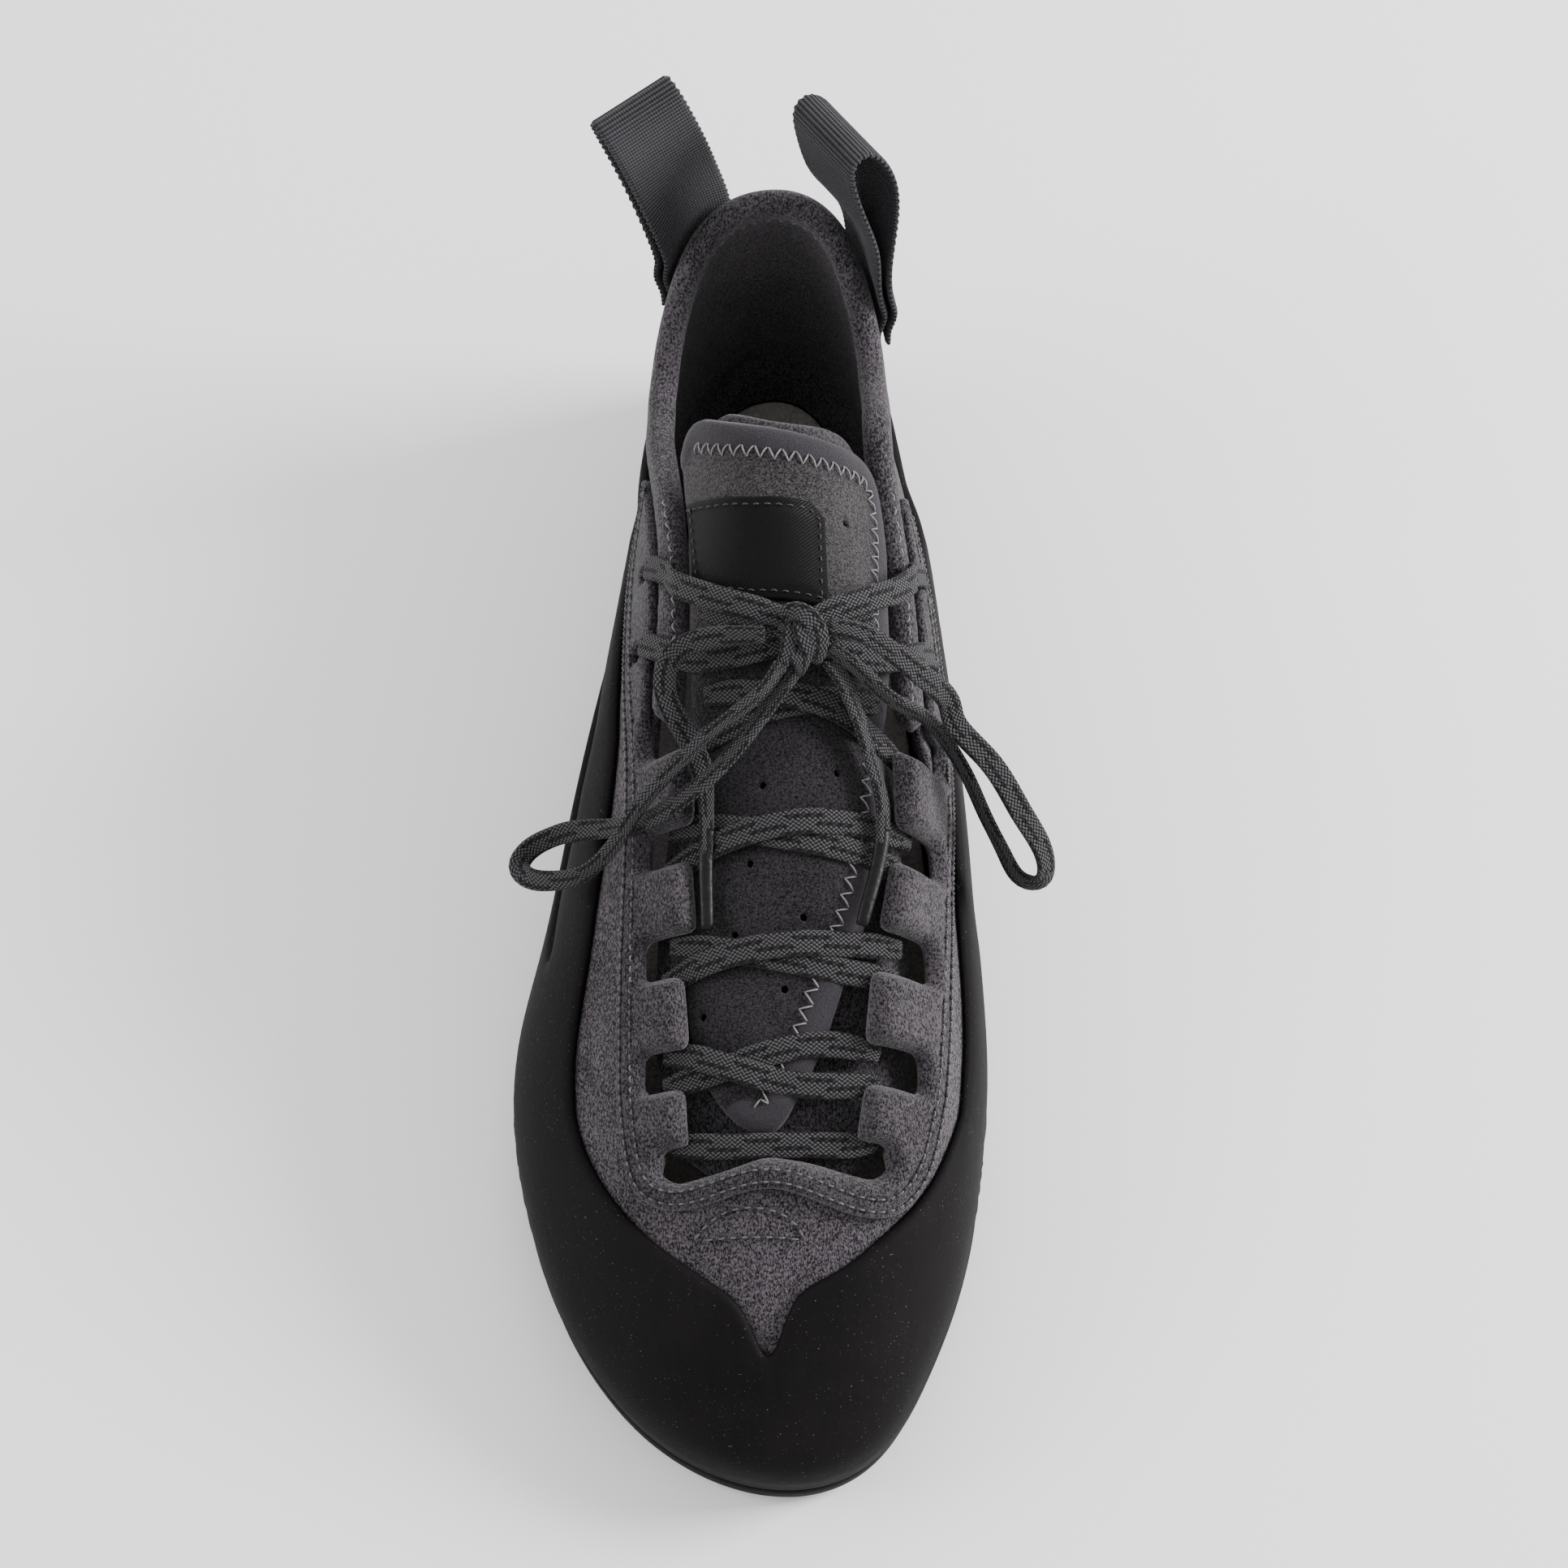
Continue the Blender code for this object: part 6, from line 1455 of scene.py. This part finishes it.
# Tongue label: black satin twill, bare, sewn on with a running stitch of its own colour.
def twill_finish():
    material, shader, wire = new_finish("label twill", Specular_IOR_Level=0.09)
    x, y = wire.mark(0), wire.mark(1)
    run = x * 1.05 + y * 1.45
    rib = abs(run.fraction() * 2 - 1)
    place = wire.place()
    mottle = place.noise(1400, 2)
    # Painted highlight and painted shade: the twill's ribs are lighter on their crests and darker in the hollows
    # between them.
    tone = (rib * 0.7 + mottle * 0.4).clamped()
    dress(shader, Base_Color=tone.tinted((0.0008, 0.0008, 0.0009), (0.0062, 0.0059, 0.0066)),
          Roughness=0.62 - 0.22 * rib, Normal=(rib * 0.7 + mottle * 0.3).bump(0.00016))
    return material


LABEL = ((-0.278, 0.292), (-0.180, 0.302), (-0.068, 0.311), (0.075, 0.315), (0.108, 0.326), (0.092, 0.396),
         (-0.081, 0.390), (-0.240, 0.374))
LABEL_THICKNESS, LABEL_BORDER = 0.0006, 0.0016
LABEL_SAG, LABEL_SWELL = (0.00022, LABEL_BORDER, 0.0004), 0.00025
LABEL_TWILL = twill_finish()
label_ring = shares(LABEL)
label_sheet = cut_sheet([label_ring], [], 0.0010, (0.0003, 0.0007))
places, _, rim = label_sheet
label_lift = CLEARANCE + FACET_ALLOWANCE
sag, swell = ridge(rim, *LABEL_SAG), LABEL_SWELL * soft_step(rim / 0.004)
shell("tongue_label_twill", label_sheet,
      from_tongue(places, label_lift + LABEL_THICKNESS + swell - sag - 0.0004 * rounded(rim, 0.0006)),
      from_tongue(places, label_lift), LABEL_TWILL, "label_twill", ["tongue_label"], places * 1000)
middle = label_ring.mean(axis=0)
border = walk_line(closed(label_ring), FINE_STEP, True)
way = leftward(border)
way *= np.sign(np.sum((middle - border) * way, axis=1))[:, None]
border = border + way * LABEL_BORDER
border = border[inside(border, label_ring)]
TWILL_THREAD = thread_finish("label thread", (0.003, 0.003, 0.003), (0.022, 0.021, 0.023))
sew("label_stitching", running_stitch(from_tongue(border, label_lift + LABEL_THICKNESS), tongue_up(border),
                                      0.0014, 0.0009), TWILL_THREAD)


# Rand: one sheet of black rubber round the foot, glued under tension. Its top edge is skived
# thin, windows leave the suede free at the arch, and a second strip thickens it over the sole.
RAND_TOP = (
    (0.655, 0.280), (0.605, 0.330), (0.565, 0.370), (0.542, 0.420),
    (0.545, 0.469), (0.497, 0.578), (0.476, 0.640), (0.443, 0.702), (0.395, 0.755), (0.335, 0.795),
    (0.260, 0.830), (0.165, 0.859), (0.070, 0.884), (-0.008, 0.899), (-0.048, 0.916), (-0.097, 0.950),
    (-0.141, 0.924), (-0.184, 0.903), (-0.227, 0.892), (-0.292, 0.876), (-0.378, 0.851), (-0.465, 0.815),
    (-0.538, 0.764), (-0.560, 0.705), (-0.551, 0.667), (-0.538, 0.628), (-0.530, 0.574), (-0.515, 0.508),
    (-0.519, 0.442), (-0.560, 0.385), (-0.625, 0.325), (-0.672, 0.275),
)
RAND_WINDOW_LATERAL = (
    (-0.703, 0.604), (-0.715, 0.566), (-0.692, 0.496), (-0.676, 0.461), (-0.650, 0.422), (-0.680, 0.368),
    (-0.724, 0.310), (-0.768, 0.252), (-0.811, 0.202), (-0.870, 0.182), (-0.925, 0.202), (-0.945, 0.252),
    (-0.925, 0.310), (-0.865, 0.426), (-0.805, 0.504), (-0.752, 0.574),
)
RAND_WINDOW_MEDIAL = (
    (0.655, 0.566), (0.660, 0.504), (0.665, 0.434), (0.700, 0.368), (0.750, 0.310), (0.800, 0.252),
    (0.843, 0.202), (0.887, 0.185), (0.925, 0.209), (0.915, 0.271), (0.876, 0.349), (0.832, 0.426),
    (0.778, 0.504), (0.705, 0.562),
)
HEEL_CUP = ((0.225, 0.440), (0.180, 0.455), (0.12, 0.49), (0.06, 0.52), (0.00, 0.56))
RAND_LIFT, RAND_THICKNESS, STRIP_HEIGHT, STRIP_STEP = 0.0006, 0.0018, 0.0085, 0.00035
CUT_DROP, CUT_ROUND, SKIVE_DEPTH, SKIVE_REACH = 0.0011, 0.0016, 0.0006, 0.006


def rubber_finish(name, deep, pale, low, high):
    """Matte sheet rubber: buffed, faintly cloudy, with specks of lint and dust."""
    material, shader, wire = new_finish(name, Specular_IOR_Level=0.07)
    place = wire.place()
    skin, cloud = place.noise(900, 3, 0.6), place.noise(28, 4, 0.6, 0.5)
    speck = (place.noise(2600, 1) > 0.742) * (place.noise(90, 2) > 0.44)
    scuff = place.drawn_out(Scale=(1.0, 0.10, 0.6)).noise(520, 3, 0.6)
    tone = (0.45 + (cloud - 0.5) * 1.3 + (skin - 0.5) * 0.35 + (scuff - 0.5) * 0.30).clamped()
    base = tone.tinted(deep, pale)
    colour = (speck * 0.55).over(base, (0.16, 0.15, 0.15))
    dull = 0.5 + (cloud - 0.5) * 1.4 + (skin - 0.5) * 0.5
    dress(shader, Base_Color=colour, Roughness=(low + (high - low) * dull).clamped(),
          Normal=(skin * 0.35 + cloud * 0.9 + scuff * 0.25 + speck * 0.2).bump(0.00022))
    return material


RAND_RUBBER = rubber_finish("rand rubber", (0.0026, 0.0022, 0.0024), (0.0095, 0.0082, 0.0090), 0.55, 0.80)
heel_cup = [LAST.place(s, -1, INSTEP_HEIGHT * h) for s, h in HEEL_CUP]
heel_cup += [LAST.place(s, 1, INSTEP_HEIGHT * h) for s, h in HEEL_CUP[-2::-1]]
rand_top = smooth(np.vstack([shares(RAND_TOP), heel_cup]), 0.0012)
windows = [smooth(shares(w), 0.0015) for w in (RAND_WINDOW_LATERAL, RAND_WINDOW_MEDIAL)]
rand_sheet = cut_sheet([LAST.foot_line(CLEARANCE)], [rand_top] + windows, 0.0021)
places, _, rim = rand_sheet
foot_gap = LAST.above_foot(*places.T)
cut_gap = np.where(foot_gap < 0.0030, 1.0, rim)
strip = STRIP_STEP * soft_step((STRIP_HEIGHT - foot_gap) / 0.0008)
thick = RAND_THICKNESS - CUT_DROP * rounded(cut_gap, CUT_ROUND)
thick -= SKIVE_DEPTH * rounded(cut_gap, SKIVE_REACH)
fold = relief(places) * 0.8
shell("rand_rubber_sheet", rand_sheet, LAST.lifted(places, fold + RAND_LIFT + thick + strip),
      LAST.lifted(places, fold + RAND_LIFT * 0.5), RAND_RUBBER, "rand_rubber", ["rand"])


# Sole: a 4 mm sheet of smooth climbing rubber, cut flush round the rand and ground at its edge,
# and the thin felt board inside the shoe.
def plan_ring(grow, step):
    """Plan outline at the sole's top, larger by grow than the upper's foot."""
    share = (1 - np.cos(np.linspace(0, np.pi, 300))) / 2
    points = []
    for side, run in ((1, share), (-1, share[-2:0:-1])):
        foot = np.stack([edge(run, side), along(run)], -1)
        pivot = np.clip(run, HEEL_PIVOT, TOE_PIVOT)
        top = np.stack([BALL_WIDTH * section(pivot, 1), along(pivot)], -1)
        points.append(foot + unit(foot - top) * (grow - BALL_WIDTH * section(run, 4))[:, None])
    return walk_line(closed(np.vstack(points)), step, True)


def at_sole(places, height):
    return np.column_stack([places, sole_line((HEEL_BACK - places[:, 1]) / LENGTH) + height])


def ground_rubber_finish():
    """Smooth sole rubber with the fine level lines that grinding leaves on its edge."""
    material, shader, wire = new_finish("sole rubber", Specular_IOR_Level=0.08)
    place = wire.place()
    lines = place.drawn_out(Scale=(0.05, 0.05, 1.0)).noise(2600, 3, 0.6)
    skin, cloud = place.noise(800, 3), place.noise(30, 3)
    tone = (0.4 + (lines - 0.5) * 0.9 + (cloud - 0.5) * 0.8 + (skin - 0.5) * 0.3).clamped()
    dress(shader, Base_Color=tone.tinted((0.0030, 0.0028, 0.0030), (0.0130, 0.0120, 0.0125)),
          Roughness=0.55 + 0.25 * cloud, Normal=(lines * 0.6 + skin * 0.3).bump(0.00018))
    return material


SOLE_RUBBER = ground_rubber_finish()
RAND_OUTSIDE = RAND_LIFT + RAND_THICKNESS
sole_sheet = cut_sheet([plan_ring(RAND_OUTSIDE + 0.0006, 0.0012)], [], 0.0030, (0.0003, 0.0007, 0.0012))
places, _, rim = sole_sheet
shell("outsole_rubber", sole_sheet, at_sole(places, SOLE_THICKNESS - 0.0007 * rounded(rim, 0.0010)),
      at_sole(places, 0.0009 * rounded(rim, 0.0012)), SOLE_RUBBER, "sole_rubber", ["outsole"])

INSOLE_THICKNESS = 0.002


def felt_finish():
    material, shader, wire = new_finish("insole felt", Specular_IOR_Level=0.15, Sheen_Weight=0.2)
    place = wire.place()
    fibre, patch = place.noise(1700, 3, 0.6, 0.6), place.noise(35, 3)
    tone = (0.5 + (fibre - 0.5) * 1.6 + (patch - 0.5) * 0.8).clamped()
    dress(shader, Base_Color=tone.tinted((0.200, 0.186, 0.180), (0.560, 0.528, 0.510)),
          Roughness=0.9 + 0.08 * fibre, Normal=fibre.bump(0.0003))
    return material


FELT = felt_finish()
insole_base = SOLE_THICKNESS + CLEARANCE
insole_sheet = cut_sheet([plan_ring(-UPPER_WALL - 3 * CLEARANCE, 0.0015)], [], 0.0030, (0.0005, 0.0012))
places, _, rim = insole_sheet
cupped = 0.0012 * (1 - soft_step(rim / 0.012))
insole_top = insole_base + INSOLE_THICKNESS + cupped * 0.4 - 0.0006 * rounded(rim, 0.001)
shell("insole_board", insole_sheet, at_sole(places, insole_top),
      at_sole(places, insole_base), FELT, "insole_felt", ["insole"])


# Pull loops: ribbed webbing folded once and sewn outside the collar on both sides of the heel,
# one end over the other. The ribs run across the band, and both selvedges are beaded.
LOOP_WIDTH, LOOP_THICKNESS = 0.0192, 0.0016
LOOP_LEG = ((0.016, 0.0016), (0.011, 0.0022), (0.006, 0.0037), (0.000, 0.0038))
LOOP_LEGS_APART = LOOP_THICKNESS + 2 * CLEARANCE
LOOP_ARC = (
    (0.20, 0.12), (0.46, 0.40), (0.70, 0.54), (0.89, 0.48), (0.99, 0.16),
    (0.98, -0.20), (0.84, -0.44), (0.60, -0.46), (0.36, -0.28), (0.16, -0.10),
)
LOOP_LETS_GO, LOOP_LEAN_POWER = (0.16, 0.60), 1.4
RIB_PITCH, RIB_RISE, RIB_ROWS, BAND_COLUMNS = 0.00080, 0.00012, 5, 27
SELVEDGE_RISE, SELVEDGE_BEAD = 0.00012, 0.00018


def webbing_finish():
    """Weft ribs across the band, each a row of small warp floats."""
    material, shader, wire = new_finish("pull loop webbing", Specular_IOR_Level=0.12, Sheen_Weight=0.08)
    x, y = wire.mark(0), wire.mark(1)
    place = wire.place()
    rib, bead = (0.5 + 0.5 * turn.math("COSINE", turn)
                 for turn in (y * (2 * np.pi / RIB_PITCH / 1000), x * (2 * np.pi / 0.62)))
    mottle, patch = place.noise(1500, 2), place.noise(60, 2)
    # Painted highlight and painted shade: the crests of the ribs and warp floats are lighter, and the hollows between
    # them darker.
    tone = (rib * 0.62 + bead * 0.20 + mottle * 0.40 + (patch - 0.5) * 0.4 - 0.16).clamped()
    dress(shader, Base_Color=tone.tinted((0.0036, 0.0033, 0.0039), (0.056, 0.052, 0.060)),
          Roughness=0.80 - 0.18 * rib, Normal=(rib * 0.7 + bead * 0.35 + mottle * 0.25).bump(0.00022))
    return material


WEBBING = webbing_finish()


def strand_line(points, count):
    """A smooth line with count steps at even shares of its points."""
    points = np.array(points, float)
    t = walked(points, EVENNESS)
    fine = np.interp(np.linspace(0, len(points) - 1, count + 1), np.arange(len(points)), t)
    return np.stack([spline(t, column, fine) for column in points.T], -1)


def loop_strands(share, side, rise_to, gap, lean, width_way):
    """Five lines along the band: up the outer leg, over the fold and down the inner leg."""
    height = INSTEP_HEIGHT * np.interp(share, *np.array(COLLAR_LATERAL if side < 0 else COLLAR_MEDIAL).T)
    home = np.array(LAST.place(share, side, height))
    down = unit(home - (0, HEEL_PIVOT * LENGTH))
    ladder = home + down * np.linspace(-0.002, 0.02, 12)[:, None]
    widths, strands = np.linspace(-0.5, 0.5, 5) * LOOP_WIDTH, []
    for v in widths:
        rail = LAST.aside(ladder, v)
        reach = np.linalg.norm(ladder - ladder[0], axis=1) - 0.002
        run, lift = np.transpose(LOOP_LEG)
        rows = np.stack([np.interp(run, reach, rail[:, c]) for c in (0, 1)], -1)
        strands.append((LAST.lifted(rows, lift + LOOP_LEGS_APART), LAST.lifted(rows, lift)[::-1]))
    base = (strands[2][0][-1] + strands[2][1][0]) / 2
    wide = np.array(width_way, float)
    wide *= np.sign(wide @ (strands[4][0][-1] - strands[0][0][-1]))
    out = np.array((wide[1], -wide[0], 0))
    out *= np.sign(out @ (strands[2][0][-1] - strands[2][1][0])) / np.linalg.norm(out)
    for v, (outer, inner) in zip(widths, strands):
        arc = []
        for i, (rise, stand) in enumerate(LOOP_ARC):
            leant = np.array((*lean, 0)) * rise ** LOOP_LEAN_POWER + (0, 0, rise_to * rise)
            free = base + leant + out * gap * stand + wide * v
            sewn = (outer[-1] if i < len(LOOP_ARC) / 2 else inner[0]) + leant
            hold = np.interp(rise, LOOP_LETS_GO, (1, 0))
            arc.append(free + (sewn - free) * hold)
        yield strand_line(np.vstack([outer, arc, inner]), 66)


def pull_loop(name, node, *shape):
    """The woven band: ribs and beaded selvedges raised on both of its faces."""
    coarse = np.array(list(loop_strands(*shape)))
    v = np.linspace(-1, 1, BAND_COLUMNS)
    band = np.array([[spline(np.linspace(-1, 1, 5), coarse[:, i, c], v) for c in range(3)]
                     for i in range(coarse.shape[1])]).transpose(0, 2, 1)
    walk = walked(band[:, BAND_COLUMNS // 2])
    s = np.arange(0, walk[-1], RIB_PITCH / RIB_ROWS)
    band = np.stack([np.stack([np.interp(s, walk, band[:, j, c]) for j in range(len(v))], -1)
                     for c in range(3)], -1)
    across = unit(np.gradient(band, axis=1))
    normal = unit(np.cross(across, np.gradient(band, axis=0)))
    turn = 2 * np.pi * s / RIB_PITCH
    rib = RIB_RISE * np.cos(turn)[:, None]
    edge_gap = (1 - np.abs(v))[None, :]
    thin = np.sqrt(np.clip(edge_gap / 0.05, 0.12, 1))
    half = (LOOP_THICKNESS / 2 - 0.0002 + rib / 2 + SELVEDGE_RISE * np.exp(-(edge_gap / 0.06) ** 2)) * thin
    bead = SELVEDGE_BEAD * np.cos(turn / 2)[:, None] * (edge_gap < 0.01) * np.sign(v)[None, :]
    band = band + across * bead[..., None]
    rows = np.concatenate([band + normal * half[..., None], (band - normal * half[..., None])[:, ::-1]], 1)
    marks = np.broadcast_arrays(np.concatenate([v, v[::-1]])[None, :] * LOOP_WIDTH * 500, s[:, None] * 1000)
    n, k = len(rows), rows.shape[1]
    faces = tube_faces(n, k, capped=False)
    for i in (0, n - 1):
        for j in range(BAND_COLUMNS - 1):
            face = (i * k + j, i * k + j + 1, i * k + k - 2 - j, i * k + k - 1 - j)
            faces.append(face[::-1] if i == 0 else face)
    marks = np.stack(marks, -1).reshape(-1, 2)
    return piece(name, rows.reshape(-1, 3), faces, WEBBING, "webbing", [node], marks)


pull_loop("pull_loop_lateral_webbing", "pull_loop_lateral",
          0.028, -1, 0.037, 0.0055, (-0.0105, 0.0045), (0.80, 0.60, 0.03))
pull_loop("pull_loop_medial_webbing", "pull_loop_medial",
          0.055, 1, 0.041, 0.0090, (-0.0095, 0.0055), (0.63, -0.78, 0.0))

# The table of sizes: the solids' box and the dressed shoe's box.
dressed_box = [list(corner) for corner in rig.bounds()]
with open("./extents.json", "w") as sizes:
    json.dump({"cad": cad_box, "dressed": dressed_box}, sizes)
